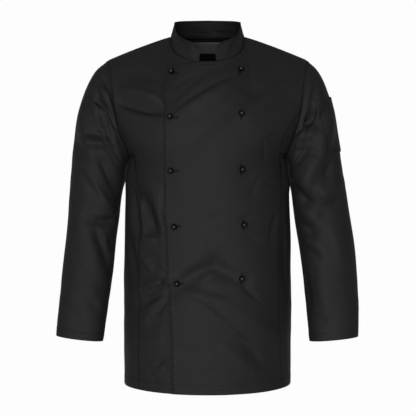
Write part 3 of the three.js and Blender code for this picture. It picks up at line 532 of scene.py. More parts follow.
def level_point(angle, t, is_front):
    """A level of the body: part of an oval from its middle to its side edge."""
    angle, t = np.broadcast_arrays(np.asarray(angle, float), np.asarray(t, float))
    below = stack(from_table(LEVELS, "t", t, "half"), 0, from_table(LEVELS, "t", t, "z_side"))
    side = np.where((t > UNDERARM_T)[..., None], armhole_point(height_in_armhole(t), is_front), below)
    turn = np.radians(from_table(LEVELS, "t", t, "turn"))
    a = turn * angle / 90
    depth = -from_table(LEVELS, "t", t, "front") if is_front else from_table(LEVELS, "t", t, "back")
    middle_z = from_table(LEVELS, "t", t, "z_front" if is_front else "z_back")
    inward = (np.cos(a) - np.cos(turn)) / (1 - np.cos(turn))
    return stack(side[..., 0] * np.sin(a) / np.sin(turn),
                 side[..., 1] + (depth - side[..., 1]) * inward,
                 side[..., 2] + (middle_z - side[..., 2]) * inward)


def body_plain(angle, t, is_front):
    """The body without folds: levels that bend into the neckline and shoulder."""
    point = level_point(angle, t, is_front)
    angle, t = np.broadcast_arrays(np.asarray(angle, float), np.asarray(t, float))
    q = np.maximum(0, (t - TOP_BLEND_START) / (1 - TOP_BLEND_START))
    bend = top_edge(angle, is_front) - level_point(angle, 1.0, is_front)
    return point + bend * (q * q)[..., None]


def body_point(angle, t, is_front, is_under=False):
    """The body with its largest folds; the angle is less than 0 on the wearer's right."""
    angle, t = np.broadcast_arrays(np.asarray(angle, float), np.asarray(t, float))
    point = body_plain(np.abs(angle), t, is_front)
    point[..., 0] *= np.where(angle < 0, -1, 1)
    calm = ease(90, 76, np.abs(angle)) * ease(1, 0.9, t)
    folds = FRONT_FOLDS if is_front else BACK_FOLDS
    height = fold_height(folds, point[..., 0], point[..., 2])
    if is_under:
        hidden = ease(-100, -84, point[..., 0]) * ease(0.96, 0.9, t)
        deep = dict(folds, wide=folds["wide"] * 1.4, high=np.abs(folds["high"]))
        room = fold_height(deep, point[..., 0], point[..., 2])
        height = height * (1 - hidden) - room * hidden
    height = height * calm
    out = np.radians(angle)
    point[..., 0] += height * np.sin(out)
    point[..., 1] += height * (-np.cos(out) if is_front else np.cos(out))
    return point


def angle_at(x, t, is_front):
    """The angle at which a level reaches a distance from the middle, by halving."""
    low = np.zeros(np.broadcast(x, t).shape)
    high = np.full(low.shape, 90.0)
    for _ in range(26):
        middle = (low + high) / 2
        less = body_plain(middle, t, is_front)[..., 0] < x
        low = np.where(less, middle, low)
        high = np.where(less, high, middle)
    return (low + high) / 2


def closing_x(t):
    """How far the closing edge lies from the middle at a level."""
    return from_table(CLOSING_EDGE, "z", from_table(LEVELS, "t", t, "z_front"), "x")


def closing_top(part):
    """The level at which the overlap's sloping top edge crosses a share of its width."""
    x = part * closing_x(0.98)
    wanted = CLOSING_TOP_Z - CLOSING_TOP_FALL * part
    low = np.full(part.shape, 0.8)
    high = np.ones(part.shape)
    for _ in range(26):
        middle = (low + high) / 2
        less = body_plain(angle_at(x, middle, True), middle, True)[..., 2] < wanted
        low = np.where(less, middle, low)
        high = np.where(less, high, middle)
    return (low + high) / 2


def top_front_point(angle, t):
    """The front on top: lifted clear of the one below it where they overlap."""
    point = body_point(angle, t, True)
    turn, step = 0.5, 0.004
    across = body_point(angle + turn, t, True) - body_point(angle - turn, t, True)
    up = body_point(angle, np.minimum(1, t + step), True) - body_point(angle, t - step, True)
    normal = unit(np.cross(across, up))
    at_seam = ease(0.94, 1, t) * ease(10, 36, angle)
    lift = OVERLAP_LIFT * ease(150, 94, point[..., 0]) * (1 - at_seam)
    return point + normal * lift[..., None]


def sleeve_point(rows, turn, along):
    """A sleeve on the +X side: ovals from the armhole (along = 0) to the cuff (1)."""
    turn, along = np.broadcast_arrays(np.asarray(turn, float), np.asarray(along, float))
    at = along * (len(rows["row"]) - 1)
    value = {c: from_table(rows, "row", at, c) for c in SLEEVE_COLUMNS.split()[1:]}
    a = np.radians(turn)
    cos, sin = np.cos(a), np.sin(a)
    c = np.sign(cos) * np.abs(cos) ** SLEEVE_FULLNESS
    half = stack(value["out_x"] - value["in_x"], 0, value["out_z"] - value["in_z"]) / 2
    depth = np.where(sin > 0, value["front"], value["back"])
    point = stack(value["in_x"], value["mid"], value["in_z"]) + half * (1 + c)[..., None]
    point[..., 1] -= depth * sin
    follow = np.maximum(0, 1 - along / SEAM_FOLLOW) ** 2
    h = (1 + cos) / 2
    loop = np.where((sin > 0)[..., None], armhole_point(h, True), armhole_point(h, False))
    first = {name: rows[name][0] for name in rows}
    start = stack(first["in_x"] + (first["out_x"] - first["in_x"]) * (1 + c) / 2,
                  first["mid"] - np.where(sin > 0, first["front"], first["back"]) * sin,
                  first["in_z"] + (first["out_z"] - first["in_z"]) * (1 + c) / 2)
    point = point + (loop - start) * follow[..., None]
    swell = np.exp(-((turn - SWELL_TURN) / SWELL_WIDE) ** 2)
    swell = swell * ease(SWELL_FROM, SWELL_FULL, along) * ease(SWELL_TO, SWELL_WANE, along)
    point[..., 0] -= SWELL_DEEP * swell
    inner = np.abs(turn - 180)
    calm = ease(0, 0.12, along) * ease(1, 0.95, along) * np.maximum(
        ease(25, 60, inner), ease(0.5, 0.62, along) * 0.6)
    height = calm * fold_height(SLEEVE_FOLDS, turn, -along * SLEEVE_LENGTH)
    point = point + unit(half) * (height * cos)[..., None]
    point[..., 1] -= height * sin
    return point


def along_at(rows, turn, z):
    """How far down a sleeve a height lies at a turn, by halving."""
    low = np.zeros(np.broadcast(turn, z).shape)
    high = np.ones(low.shape)
    for _ in range(24):
        middle = (low + high) / 2
        above = sleeve_point(rows, turn, middle)[..., 2] > z
        low = np.where(above, middle, low)
        high = np.where(above, high, middle)
    return (low + high) / 2


# Grids, edges and sewing.

def spread(start, end, steps, tight=0.6):
    """Numbers from start to end, closer together at both ends."""
    s = np.linspace(0, 1, steps + 1)
    s = s - tight * np.sin(2 * math.pi * s) / (2 * math.pi)
    return start + (end - start) * s


def normals_of(points, closed=False):
    """Directions out of a grid: its column direction crossed with its row direction."""
    if closed:
        across = np.roll(points, -1, axis=1) - np.roll(points, 1, axis=1)
    else:
        across = np.gradient(points, axis=1)
    return unit(np.cross(across, np.gradient(points, axis=0)))


def lengths(points, axis):
    """Distance run along a grid from its first line, by summed steps."""
    steps = np.linalg.norm(np.diff(points, axis=axis), axis=-1)
    first = np.zeros_like(np.take(steps, [0], axis=axis))
    return np.concatenate([first, np.cumsum(steps, axis=axis)], axis=axis)


class Panel:
    """One piece of cloth: its grid of points, and how far each is from every edge."""

    def __init__(self, name, points, closed=False):
        self.name = name
        self.closed = closed
        self.points = points
        self.normals = normals_of(points, closed)
        self.across = lengths(points, 1)
        self.up = lengths(points, 0)
        self.edges = {
            "left": self.across,
            "right": self.across[:, -1:] - self.across,
            "bottom": self.up,
            "top": self.up[-1:] - self.up,
        }
        cells = np.cross(points[1:, 1:] - points[:-1, :-1], points[1:, :-1] - points[:-1, 1:])
        self.area = float(np.linalg.norm(cells, axis=-1).sum() / 2)
        self.flat_width = float(self.across[:, -1].max())
        self.flat_length = float(self.up[-1].max())
        if closed:
            last = np.linalg.norm(points[:, 0] - points[:, -1], axis=-1)
            self.flat_width = float((self.across[:, -1] + last).max())
            self.area *= 1 + last.sum() / self.across[:, -1].sum()

    def distance(self, edge):
        """Distance from an edge, and the place along it."""
        along = self.up if edge in ("left", "right") else self.across
        return self.edges[edge], along

    def raise_by(self, height):
        """Moves the points out by a height, in millimetres."""
        self.points = self.points + self.normals * height[..., None]

    def trim(self, edges):
        """Cuts the piece back a little at the edges where it is sewn to another."""
        for edge in edges:
            line, inner = {"left": (np.s_[:, 0], np.s_[:, 1]), "right": (np.s_[:, -1], np.s_[:, -2]),
                           "bottom": (np.s_[0], np.s_[1]), "top": (np.s_[-1], np.s_[-2])}[edge]
            self.points[line] += unit(self.points[inner] - self.points[line]) * EDGE_CUT

    def line(self, edge, offset, part=slice(None)):
        """Points and normals of a line, or part of one, inside an edge at a distance."""
        distance, _ = self.distance(edge)
        points, normals = self.points, normals_of(self.points, self.closed)
        if edge in ("left", "right"):
            rows = zip(distance, points, normals)
        else:
            rows = zip(distance.T, points.swapaxes(0, 1), normals.swapaxes(0, 1))
        out = []
        for far, where, facing in rows:
            if edge in ("right", "top"):
                far, where, facing = far[::-1], where[::-1], facing[::-1]
            both = np.concatenate([where, facing], axis=-1)
            out.append([np.interp(offset, far, both[:, k]) for k in range(6)])
        out = np.array(out)[part]
        if self.closed and edge in ("bottom", "top"):
            out = np.concatenate([out, out[:1]])
        return out[:, :3], unit(out[:, 3:])


def pucker(along, seed):
    """Uneven gathers along a seam: two sines whose phases drift."""
    drift = 2.2 * np.sin(along / 37 + seed) + 1.1 * np.sin(along / 13 + 2.3 * seed)
    return 0.62 * np.sin(along / 1.35 + drift) + 0.38 * np.sin(along / 2.3 - 1.4 * drift + seed)


def seam_relief(panel, edge, strength, seed, stitch=SEAM_STITCH, roll=0.4, swollen=0.35):
    """A sewn seam: the edge turns under, a stitched groove runs inside it, and the
    cloth is gathered near it."""
    distance, along = panel.distance(edge)
    edge_roll = -roll * np.exp(-(distance / ROLL_WIDE) ** 2)
    swell = swollen * np.exp(-((distance - stitch - 2.6) / 2.4) ** 2)
    groove = -GROOVE_DEEP * np.exp(-((distance - stitch) / GROOVE_WIDE) ** 2)
    gather = strength * pucker(along, seed) * np.exp(-(distance / GATHER_WIDE) ** 2) * ease(0, 1.2, distance)
    return edge_roll + swell + groove + gather


def hem_relief(panel, edge, stitch, strength, seed):
    """A turned hem: doubled and so a little thicker out to its stitching, with a
    stitched groove and slanting gathers."""
    distance, along = panel.distance(edge)
    doubled = HEM_THICKER * ease(stitch + 4, stitch, distance)
    rolled = -0.5 * np.exp(-(distance / 1.2) ** 2)
    groove = -HEM_GROOVE_DEEP * np.exp(-((distance - stitch) / 1.1) ** 2)
    slanted = pucker(along * 0.55 + distance * 0.35, seed)
    gather = strength * slanted * np.exp(-((distance - stitch * 0.75) / (0.55 * stitch)) ** 2)
    return doubled + rolled + groove + gather


def add_mesh(name, points, faces, uv=None):
    """A mesh object in metres, at the origin, smooth, with a map in metres if given."""
    mesh = bpy.data.meshes.new(name)
    mesh.from_pydata((points / 1000).tolist(), [], faces.tolist())
    mesh.polygons.foreach_set("use_smooth", np.ones(len(faces), bool))
    if uv is not None:
        layer = mesh.uv_layers.new(name="cloth")
        layer.data.foreach_set("uv", (uv.reshape(-1) / 1000).astype(np.float32))
    mesh.update()
    obj = bpy.data.objects.new(name, mesh)
    bpy.context.collection.objects.link(obj)
    return obj


def shell(panel, wall, inside_shading=1.0):
    """A closed two-sided shell: outer points, the same points a wall further in, and a
    rim between them. The map is the distance across and up the piece."""
    outer = panel.points
    inner = outer - normals_of(outer, panel.closed) * wall
    rows, columns = outer.shape[:2]
    points = np.concatenate([outer.reshape(-1, 3), inner.reshape(-1, 3)])
    steps = columns if panel.closed else columns - 1
    r, c = np.meshgrid(np.arange(rows - 1), np.arange(steps), indexing="ij")
    r, c = r.ravel(), c.ravel()
    corners_r = np.stack([r, r, r + 1, r + 1], -1)
    corners_c = np.stack([c, c + 1, c + 1, c], -1)
    if panel.closed:
        last = np.linalg.norm(outer[:, 0] - outer[:, -1], axis=-1)
        across = np.concatenate([panel.across, (panel.across[:, -1] + last)[:, None]], axis=1)
        up = np.concatenate([panel.up, panel.up[:, :1]], axis=1)
    else:
        across, up = panel.across, panel.up
    faces = corners_r * columns + corners_c % columns
    back = (faces + rows * columns)[:, ::-1]
    uv = np.stack([across[corners_r, corners_c], up[corners_r, corners_c]], -1)
    all_faces, all_uv = [faces, back], [uv, uv[:, ::-1]]

    def rim(r1, c1, r2, c2):
        """Closes the edge between the two sides, from one border point to the next."""
        a, b = r1 * columns + c1 % columns, r2 * columns + c2 % columns
        depth = rows * columns
        all_faces.append(np.stack([b, a, a + depth, b + depth], -1))
        first = np.stack([across[r1, c1], up[r1, c1]], -1)
        second = np.stack([across[r2, c2], up[r2, c2]], -1)
        all_uv.append(np.stack([second, first, first, second], 1))

    c = np.arange(columns if panel.closed else columns - 1)
    low, high = np.zeros_like(c), np.full_like(c, rows - 1)
    rim(low, c, low, c + 1)
    rim(high, c + 1, high, c)
    if not panel.closed:
        r = np.arange(rows - 1)
        low, high = np.zeros_like(r), np.full_like(r, columns - 1)
        rim(r, high, r + 1, high)
        rim(r + 1, low, r, low)
    obj = add_mesh(panel.name + "_cloth", points, np.concatenate(all_faces), np.concatenate(all_uv))
    # A second map marks each face for painted shade: 0 on the right side of the cloth, and the given share on
    # its inside faces, which the material draws much darker as painted shade in the hollow.
    inside_mask = np.zeros((len(obj.data.loops), 2))
    inside_mask[4 * len(faces):8 * len(faces), 0] = inside_shading
    layer = obj.data.uv_layers.new(name="wrong_side")
    layer.data.foreach_set("uv", inside_mask.ravel())
    obj.data.uv_layers.active_index = 0
    # The rim keeps its own shading, so that a seam's edge doesn't catch the light.
    obj.data.set_sharp_from_angle(angle=math.radians(55))
    return obj


def resample(points, normals, pitch):
    """Even places along a line: middles of steps of about one pitch."""
    far = np.concatenate([[0], np.cumsum(np.linalg.norm(np.diff(points, axis=0), axis=1))])
    count = max(2, int(far[-1] / pitch))
    at = (np.arange(count) + 0.5) * far[-1] / count
    middle = np.stack([np.interp(at, far, points[:, k]) for k in range(3)], -1)
    facing = unit(np.stack([np.interp(at, far, normals[:, k]) for k in range(3)], -1))
    ends = [np.stack([np.interp(at + s, far, points[:, k]) for k in range(3)], -1) for s in (-0.8, 0.8)]
    return middle, facing, unit(ends[1] - ends[0])


def stitches(name, lines, length=STITCH_LENGTH, radius=STITCH_RADIUS):
    """Short rounded threads along lines: one small capsule repeated at every place,
    its middle a little proud of the cloth and its ends sunk in."""
    ring = np.arange(6) * math.pi / 3
    parts = [np.array([[-length / 2, 0, -0.35 * radius]])]
    for x, sink in ((-length * 0.36, 0.0), (length * 0.36, 0.0)):
        raised = radius * (np.sin(ring) + 0.45) - sink
        parts.append(np.stack([np.full(6, x), radius * np.cos(ring), raised], -1))
    parts.append(np.array([[length / 2, 0, -0.35 * radius]]))
    capsule = np.concatenate(parts)
    k = np.arange(6)
    after = (k + 1) % 6
    faces = np.concatenate([
        np.stack([np.zeros(6, int), 1 + after, 1 + k], -1),
        np.stack([1 + k, 1 + after, 7 + after], -1),
        np.stack([1 + k, 7 + after, 7 + k], -1),
        np.stack([np.full(6, 13), 7 + k, 7 + after], -1),
    ])
    middles, facings, alongs = (np.concatenate(group) for group in zip(*lines))
    sides = unit(np.cross(facings, alongs))
    facings = unit(np.cross(alongs, sides))
    frames = np.stack([alongs, sides, facings], 1)
    points = middles[:, None] + np.einsum("vk,nkx->nvx", capsule, frames)
    all_faces = faces[None] + (np.arange(len(middles)) * len(capsule))[:, None, None]
    return add_mesh(name, points.reshape(-1, 3), all_faces.reshape(-1, 3))


def sew(panel, runs, material):
    """Sews stitching on a piece: each run names an edge, a distance inside it and which
    part of the edge it follows."""
    lines = [resample(*panel.line(edge, offset, part), STITCH_PITCH) for edge, offset, part in runs]
    obj = stitches(panel.name + "_stitching", lines)
    finish_piece(obj, material)
    return obj


def finish_piece(obj, material):
    """Gives a piece its material and says what it rides on."""
    obj.data.materials.append(material)
    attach(obj, "root")


def add_cloth(panel, runs, wall=1.3, inside_shading=1.0):
    """Makes a cloth piece and its stitching, in place of its node of the frame."""
    colours = bpy.context.scene.jacket_colours
    # The inside faces get painted shade, by the share given.
    obj = shell(panel, wall, inside_shading)
    finish_piece(obj, twill_material(colours))
    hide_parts(panel.name)
    extras = [sew(panel, runs, thread_material(colours))] if runs else []
    return obj


# Materials.

def linear(code):
    """A linear colour from an sRGB hex value such as 0x2B2B2D."""
    parts = [(code >> shift & 255) / 255 for shift in (16, 8, 0)]
    return tuple(c / 12.92 if c <= 0.04045 else ((c + 0.055) / 1.055) ** 2.4 for c in parts) + (1.0,)


def add_node(tree, kind, links=None, **settings):
    """Adds a node, sets its settings and sockets by name, and links its inputs."""
    node = tree.nodes.new(kind)
    for key, value in settings.items():
        if key in node.inputs:
            node.inputs[key].default_value = value
        else:
            setattr(node, key, value)
    for socket, source in (links or {}).items():
        tree.links.new(source, node.inputs[socket])
    return node


def start_material(name):
    """A material with an empty node tree, or the one already made."""
    known = bpy.data.materials.get(name)
    if known:
        return known, None
    material = bpy.data.materials.new(name)
    material.use_nodes = True
    material.node_tree.nodes.clear()
    return material, material.node_tree


def set_shader(tree, links, **values):
    """Ends a tree with a Principled shader, its plain numbers set on its sockets."""
    shader = add_node(tree, "ShaderNodeBsdfPrincipled", links)
    for name, value in values.items():
        shader.inputs[name.replace("_", " ")].default_value = value
    output = add_node(tree, "ShaderNodeOutputMaterial", {"Surface": shader.outputs["BSDF"]})
    return output


TWILL_SHINE = 0.03
# Share of colour and shine left on the inside faces: painted shade that darkens the hollow inside.
INSIDE_SHADE_SHARE = 0.16


def twill_material(colours):
    """Black cotton and polyester twill, 245 g per sq m, woven: a soft
    shine on its right side, and painted shade on its inside faces, whose colour and shine are cut to a small
    share. Its ribs are 0.55 mm apart and slant at 63 degrees."""
    material, tree = start_material("twill_cotton_polyester_black")
    if tree is None:
        return material
    place = add_node(tree, "ShaderNodeUVMap", uv_map="cloth")
    turned = add_node(tree, "ShaderNodeMapping", {"Vector": place.outputs["UV"]},
                      Rotation=(0, 0, math.radians(63 - 90)))
    # A band wave has a period of 0.314 over its scale: 571 makes ribs of 0.55 mm.
    ribs = add_node(tree, "ShaderNodeTexWave", {"Vector": turned.outputs["Vector"]},
                    wave_type="BANDS", bands_direction="X", Scale=571, Distortion=0.6, Detail=1)
    # Yarn slubs and lint, about 1.5 mm and 12 mm, seen on the object itself.
    solid = add_node(tree, "ShaderNodeTexCoord")
    lint = add_node(tree, "ShaderNodeTexNoise", {"Vector": solid.outputs["Object"]}, Scale=650, Detail=3)
    patches = add_node(tree, "ShaderNodeTexNoise", {"Vector": solid.outputs["Object"]}, Scale=70, Detail=4)
    shade = add_node(tree, "ShaderNodeMapRange", {"Value": lint.outputs["Fac"]})
    shade.inputs["To Min"].default_value = 0.8
    shade.inputs["To Max"].default_value = 1.2
    wear = add_node(tree, "ShaderNodeMapRange", {"Value": patches.outputs["Fac"]})
    wear.inputs["To Min"].default_value = 0.9
    wear.inputs["To Max"].default_value = 1.1
    both = add_node(tree, "ShaderNodeMath", {0: shade.outputs["Result"], 1: wear.outputs["Result"]},
                    operation="MULTIPLY")
    # Painted shade on the inside faces: their colour is cut to a small share of the cloth's, so the hollow
    # inside is drawn dark.
    sides = add_node(tree, "ShaderNodeUVMap", uv_map="wrong_side")
    inside_mask = add_node(tree, "ShaderNodeSeparateXYZ", {"Vector": sides.outputs["UV"]})
    inside_shading = add_node(tree, "ShaderNodeMapRange", {"Value": inside_mask.outputs["X"]})
    inside_shading.inputs["To Min"].default_value = 1.0
    inside_shading.inputs["To Max"].default_value = INSIDE_SHADE_SHARE
    # The random tone, times the painted shade of the inside faces.
    shown = add_node(tree, "ShaderNodeMath", {0: both.outputs["Value"], 1: inside_shading.outputs["Result"]},
                     operation="MULTIPLY")
    # The shine is cut on the inside faces as well: partly the duller wrong side of the cloth, partly painted
    # shade.
    shine = add_node(tree, "ShaderNodeMapRange", {"Value": inside_mask.outputs["X"]})
    shine.inputs["To Min"].default_value = TWILL_SHINE
    shine.inputs["To Max"].default_value = INSIDE_SHADE_SHARE * TWILL_SHINE
    base = tuple(colours.twill)
    colour = add_node(tree, "ShaderNodeMix", {"Factor": shown.outputs["Value"]}, data_type="RGBA",
                      clamp_factor=False)
    colour.inputs[6].default_value = (0, 0, 0, 1)
    colour.inputs[7].default_value = base
    bump = add_node(tree, "ShaderNodeBump", {"Height": ribs.outputs["Fac"]}, Strength=0.35, Distance=0.00012)
    under = {"Height": lint.outputs["Fac"], "Normal": bump.outputs["Normal"]}
    weave = add_node(tree, "ShaderNodeBump", under, Strength=0.25, Distance=0.0002)
    set_shader(tree, {"Base Color": colour.outputs[2], "Normal": weave.outputs["Normal"],
                      "Specular IOR Level": shine.outputs["Result"]}, Roughness=0.64, IOR=1.5)
    return material


def thread_material(colours):
    """Black polyester sewing thread, twisted and slightly glossy."""
    material, tree = start_material("thread_polyester_black")
    if tree is None:
        return material
    set_shader(tree, {}, Base_Color=tuple(colours.thread), Roughness=0.6, IOR=1.55,
               Specular_IOR_Level=0.012)
    return material


def satin_material(colours):
    """Dark grey woven polyester satin of the neck label: smooth, with a soft shine and
    fine crosswise floats 0.3 mm apart, drawn twice as coarse so that they show."""
    material, tree = start_material("satin_polyester_dark_grey")
    if tree is None:
        return material
    place = add_node(tree, "ShaderNodeUVMap", uv_map="cloth")
    floats = add_node(tree, "ShaderNodeTexWave", {"Vector": place.outputs["UV"]},
                      wave_type="BANDS", bands_direction="Y", Scale=523, Distortion=1.5, Detail=2)
    bump = add_node(tree, "ShaderNodeBump", {"Height": floats.outputs["Fac"]}, Strength=0.25,
                    Distance=0.00008)
    set_shader(tree, {"Normal": bump.outputs["Normal"]}, Base_Color=tuple(colours.label), Roughness=0.5,
               IOR=1.55, Specular_IOR_Level=0.06)
    return material


def moulded_material(colours):
    """Glossy black moulded resin of the ball studs: a hard smooth skin with faint
    unevenness of the mould, about 3 mm across."""
    material, tree = start_material("resin_moulded_gloss_black")
    if tree is None:
        return material
    solid = add_node(tree, "ShaderNodeTexCoord")
    uneven = add_node(tree, "ShaderNodeTexNoise", {"Vector": solid.outputs["Object"]}, Scale=330, Detail=2)
    bump = add_node(tree, "ShaderNodeBump", {"Height": uneven.outputs["Fac"]}, Strength=0.08, Distance=0.0003)
    set_shader(tree, {"Normal": bump.outputs["Normal"]}, Base_Color=tuple(colours.stud), Roughness=0.07,
               IOR=1.5, Specular_IOR_Level=0.06)
    return material


# Pieces.

OVERLAP_COLUMNS = 34
NECK_COLUMNS = 34
BACK_COLUMNS = 47
SHOULDER_COLUMNS = 62
ROWS_BELOW = 214
ROWS_ABOVE = 72


def row_levels(seam):
    """Levels of a panel's rows: even up to where its seam meets the armhole, then even
    round the armhole's curve."""
    join = seam["t"][-1]
    below = join * spread(0, 1, ROWS_BELOW, 0.35)
    turn = np.arccos(2 * height_in_armhole(join) - 1)
    h = (1 + np.cos(turn * (1 - np.arange(1, ROWS_ABOVE + 1) / ROWS_ABOVE))) / 2
    return np.concatenate([below, UNDERARM_T + (1 - UNDERARM_T) * h])[:, None]


def seam_angle(seam, t):
    """How far round a seam lies; past its upper end it is the armhole's edge."""
    return np.where(t >= seam["t"][-1] - 1e-9, 90, np.minimum(90, from_table(seam, "t", t, "angle")))


def front_panel(side):
    """A front from its closing edge to its princess seam and armhole."""
    seam = FRONT_SEAM_LEFT if side > 0 else FRONT_SEAM_RIGHT
    t = row_levels(seam)
    share = spread(1, 0, OVERLAP_COLUMNS, 0.4)[None, :-1]
    level = t * np.where(share > 0, closing_top(share), 1)
    away = share * closing_x(level)
    overlap = -side * angle_at(away, level, True)
    neck = NECK_COLUMN_AT_HEM + (NECK_ANGLE_FRONT - NECK_COLUMN_AT_HEM) * t
    main = neck * np.linspace(0, 1, NECK_COLUMNS + 1)[None]
    edge = seam_angle(seam, t)
    rest = neck + (edge - neck) * np.linspace(0, 1, SHOULDER_COLUMNS + 1)[None, 1:] ** 0.9
    angle = np.concatenate([overlap, side * main, side * rest], axis=1)
    level = np.concatenate([level, np.broadcast_to(t, (len(t), main.shape[1] + rest.shape[1]))], axis=1)
    points = top_front_point(angle, level) if side > 0 else body_point(angle, level, True, True)
    panel = Panel("front_left" if side > 0 else "front_right", points if side > 0 else points[:, ::-1])
    panel.level = level if side > 0 else level[:, ::-1]
    panel.turn = np.abs(angle if side > 0 else angle[:, ::-1])
    soften(panel, t, ease(88, 70, panel.turn))
    return panel


def soften(panel, t, calm):
    """Evens out the depth of a panel's rows about the level of the underarm."""
    depth = panel.points[..., 1]
    rows = np.clip(np.arange(len(depth))[:, None] + np.arange(-9, 10), 0, len(depth) - 1)
    share = np.exp(-((t - UNDERARM_T) / 0.06) ** 2) * calm
    panel.points[..., 1] += (depth[rows].mean(axis=1) - depth) * share


def side_panel(side):
    """A side panel from the front seam, round under the arm, to the back seam."""
    seam = FRONT_SEAM_LEFT if side > 0 else FRONT_SEAM_RIGHT
    v = spread(0, 1, ROWS_BELOW, 0.35)[:, None]
    halves = []
    for is_front, line in ((True, seam), (False, BACK_SEAM)):
        share = np.linspace(1, 0, 25)[None] ** 0.9
        join = line["t"][-1]
        t = (UNDERARM_T + (join - UNDERARM_T) * share ** 2) * v
        angle = side * (90 - (90 - seam_angle(line, join * v)) * share)
        points = body_point(angle, t, is_front)
        halves.append((points, np.abs(angle) + 0 * t))
    points = np.concatenate([halves[0][0], halves[1][0][:, -2::-1]], axis=1)
    turn = np.concatenate([halves[0][1], halves[1][1][:, -2::-1]], axis=1)
    name = "side_panel_left" if side > 0 else "side_panel_right"
    panel = Panel(name, points if side > 0 else points[:, ::-1])
    panel.turn = turn if side > 0 else turn[:, ::-1]
    return panel


def back_panel():
    """The back, from the wearer's left seam and armhole to the right ones."""
    t = row_levels(BACK_SEAM)
    neck = NECK_COLUMN_AT_HEM + (NECK_ANGLE_BACK - NECK_COLUMN_AT_HEM) * t
    edge = seam_angle(BACK_SEAM, t)
    outer = neck + (edge - neck) * np.linspace(1, 0, SHOULDER_COLUMNS)[None, :-1] ** 0.9
    middle = neck * np.linspace(1, -1, BACK_COLUMNS)[None]
    angle = np.concatenate([outer, middle, -outer[:, ::-1]], axis=1)
    panel = Panel("back", body_point(angle, t, False))
    soften(panel, t, ease(88, 70, np.abs(angle)))
    return panel


def sleeve_panel(side):
    """A sleeve: rows run from the armhole down to the cuff, columns round it."""
    rows = SLEEVE_LEFT if side > 0 else SLEEVE_RIGHT
    turn = np.arange(0, 360, 2.5)[None]
    along = spread(0, 1, 150, 0.35)[:, None] ** 1.05
    points = sleeve_point(rows, turn, along)
    points[..., 0] *= side
    turn = np.broadcast_to(turn, points.shape[:2])
    name = "sleeve_left" if side > 0 else "sleeve_right"
    panel = Panel(name, points if side > 0 else points[:, ::-1], closed=True)
    panel.turn = turn if side > 0 else turn[:, ::-1]
    panel.along = np.broadcast_to(along, points.shape[:2])
    return panel


def collar_panel():
    """The stand collar: it rises from the neckline, leans in, and its ends are round."""
    first = NECK_ANGLE_FRONT / 7
    front = first + (NECK_ANGLE_FRONT - first) * np.linspace(0, 1, 46) ** 1.2
    back = np.linspace(-NECK_ANGLE_BACK, NECK_ANGLE_BACK, 62)[1:-1]
    base = np.concatenate([body_point(-front, 1.0, True), body_point(back, 1.0, False),
                           top_front_point(front[::-1], np.ones(len(front)))])
    ring = np.concatenate([90 * front / NECK_ANGLE_FRONT, 180 - 90 * np.abs(back) / NECK_ANGLE_BACK,
                           90 * front[::-1] / NECK_ANGLE_FRONT])
    side = np.sign(np.concatenate([-front, back, front[::-1]]))
    side[side == 0] = 1
    ends = np.where((side < 0)[:, None], base[0], base[-1])
    reach = np.where(ring < 60, np.minimum(np.linalg.norm(base - ends, axis=1), COLLAR_ROUND), COLLAR_ROUND)
    drop = COLLAR_ROUND - np.sqrt(np.maximum(0, COLLAR_ROUND ** 2 - (COLLAR_ROUND - reach) ** 2))
    up = spread(0, 1, 20, 0.5)[:, None]
    tall = (from_table(COLLAR_RING, "ring", ring, "tall") - drop)[None] * up
    lean = from_table(COLLAR_RING, "ring", ring, "lean")[None] * up
    around = np.radians(ring)[None]
    inwards = stack(-np.sin(around) * side[None], np.cos(around), 0 * around)
    points = base[None] + inwards * lean[..., None] + stack(0, 0, tall)
    tucked = points[:1] + inwards * 1.4 - stack(0, 0, 2.0)
    return Panel("collar", np.concatenate([tucked, points])[:, ::-1])


def pocket_panel():
    """The pen pocket, lifted off the wearer's left sleeve; its rows run down."""
    turn = np.linspace(POCKET_TURN_BACK, POCKET_TURN_FRONT, 61)[None]
    z = POCKET_TOP + (POCKET_BOTTOM - POCKET_TOP) * spread(0, 1, 60, 0.4)[:, None]
    points = sleeve_point(SLEEVE_LEFT, turn, along_at(SLEEVE_LEFT, turn, z))
    points = points + normals_of(points) * (WALL + POCKET_GAP)
    return Panel("pen_pocket", points)


def label_panel():
    """The bare neck label, inside the back just under the collar."""
    t = LABEL_BOTTOM_T + (LABEL_TOP_T - LABEL_BOTTOM_T) * spread(0, 1, 16, 0.5)[:, None]
    angle = LABEL_ANGLE * spread(1, -1, 30, 0.5)[None]
    points = body_point(angle, t, False)
    points = points - normals_of(points) * (WALL + LABEL_GAP)
    return Panel("neck_label", points)


STUD_PLACES = {
    "right": [(-73.5, -87.5), (-73, -184), (-73, -294), (-67, -408), (-63, -525)],
    "left": [(67, -83), (69, -177), (69, -291), (73, -404.5), (70, -516)],
}


def stud_calm(x, z):
    """0 at each stud and 1 away from it, so that creases stay off the studs' seats."""
    calm = np.ones(np.broadcast(x, z).shape)
    for places in STUD_PLACES.values():
        for stud_x, stud_z in places:
            calm = calm * (1 - np.exp(-((x - stud_x) ** 2 + (z - stud_z) ** 2) / 9 ** 2))
    return calm


def crease_front(panel, strength):
    """Creases of a front, with its faint waves; they stay off studs and seams."""
    x, y, z = np.moveaxis(panel.points, -1, 0)
    below = FRONT_CREASES["x2"] <= CLOSING_LIMIT
    own = below if panel.name == "front_right" else ~below
    creases = {name: values[own] for name, values in FRONT_CREASES.items()}
    height = BODY_DEPTH * crease_height(creases, x, z, BODY_WIDE) + ripple(x, y, z)
    top = ease(1.0, 0.93, panel.level)
    if panel.name == "front_right":
        hidden = ease(-98, -86, x)
        deep = dict(FRONT_CREASES, high=-np.abs(FRONT_CREASES["high"]))
        height = height * (1 - hidden) + np.maximum(-3.5, crease_height(deep, x, z)) * hidden
    panel.raise_by(strength * height * top * stud_calm(x, z) * ease(90, 80, panel.turn))


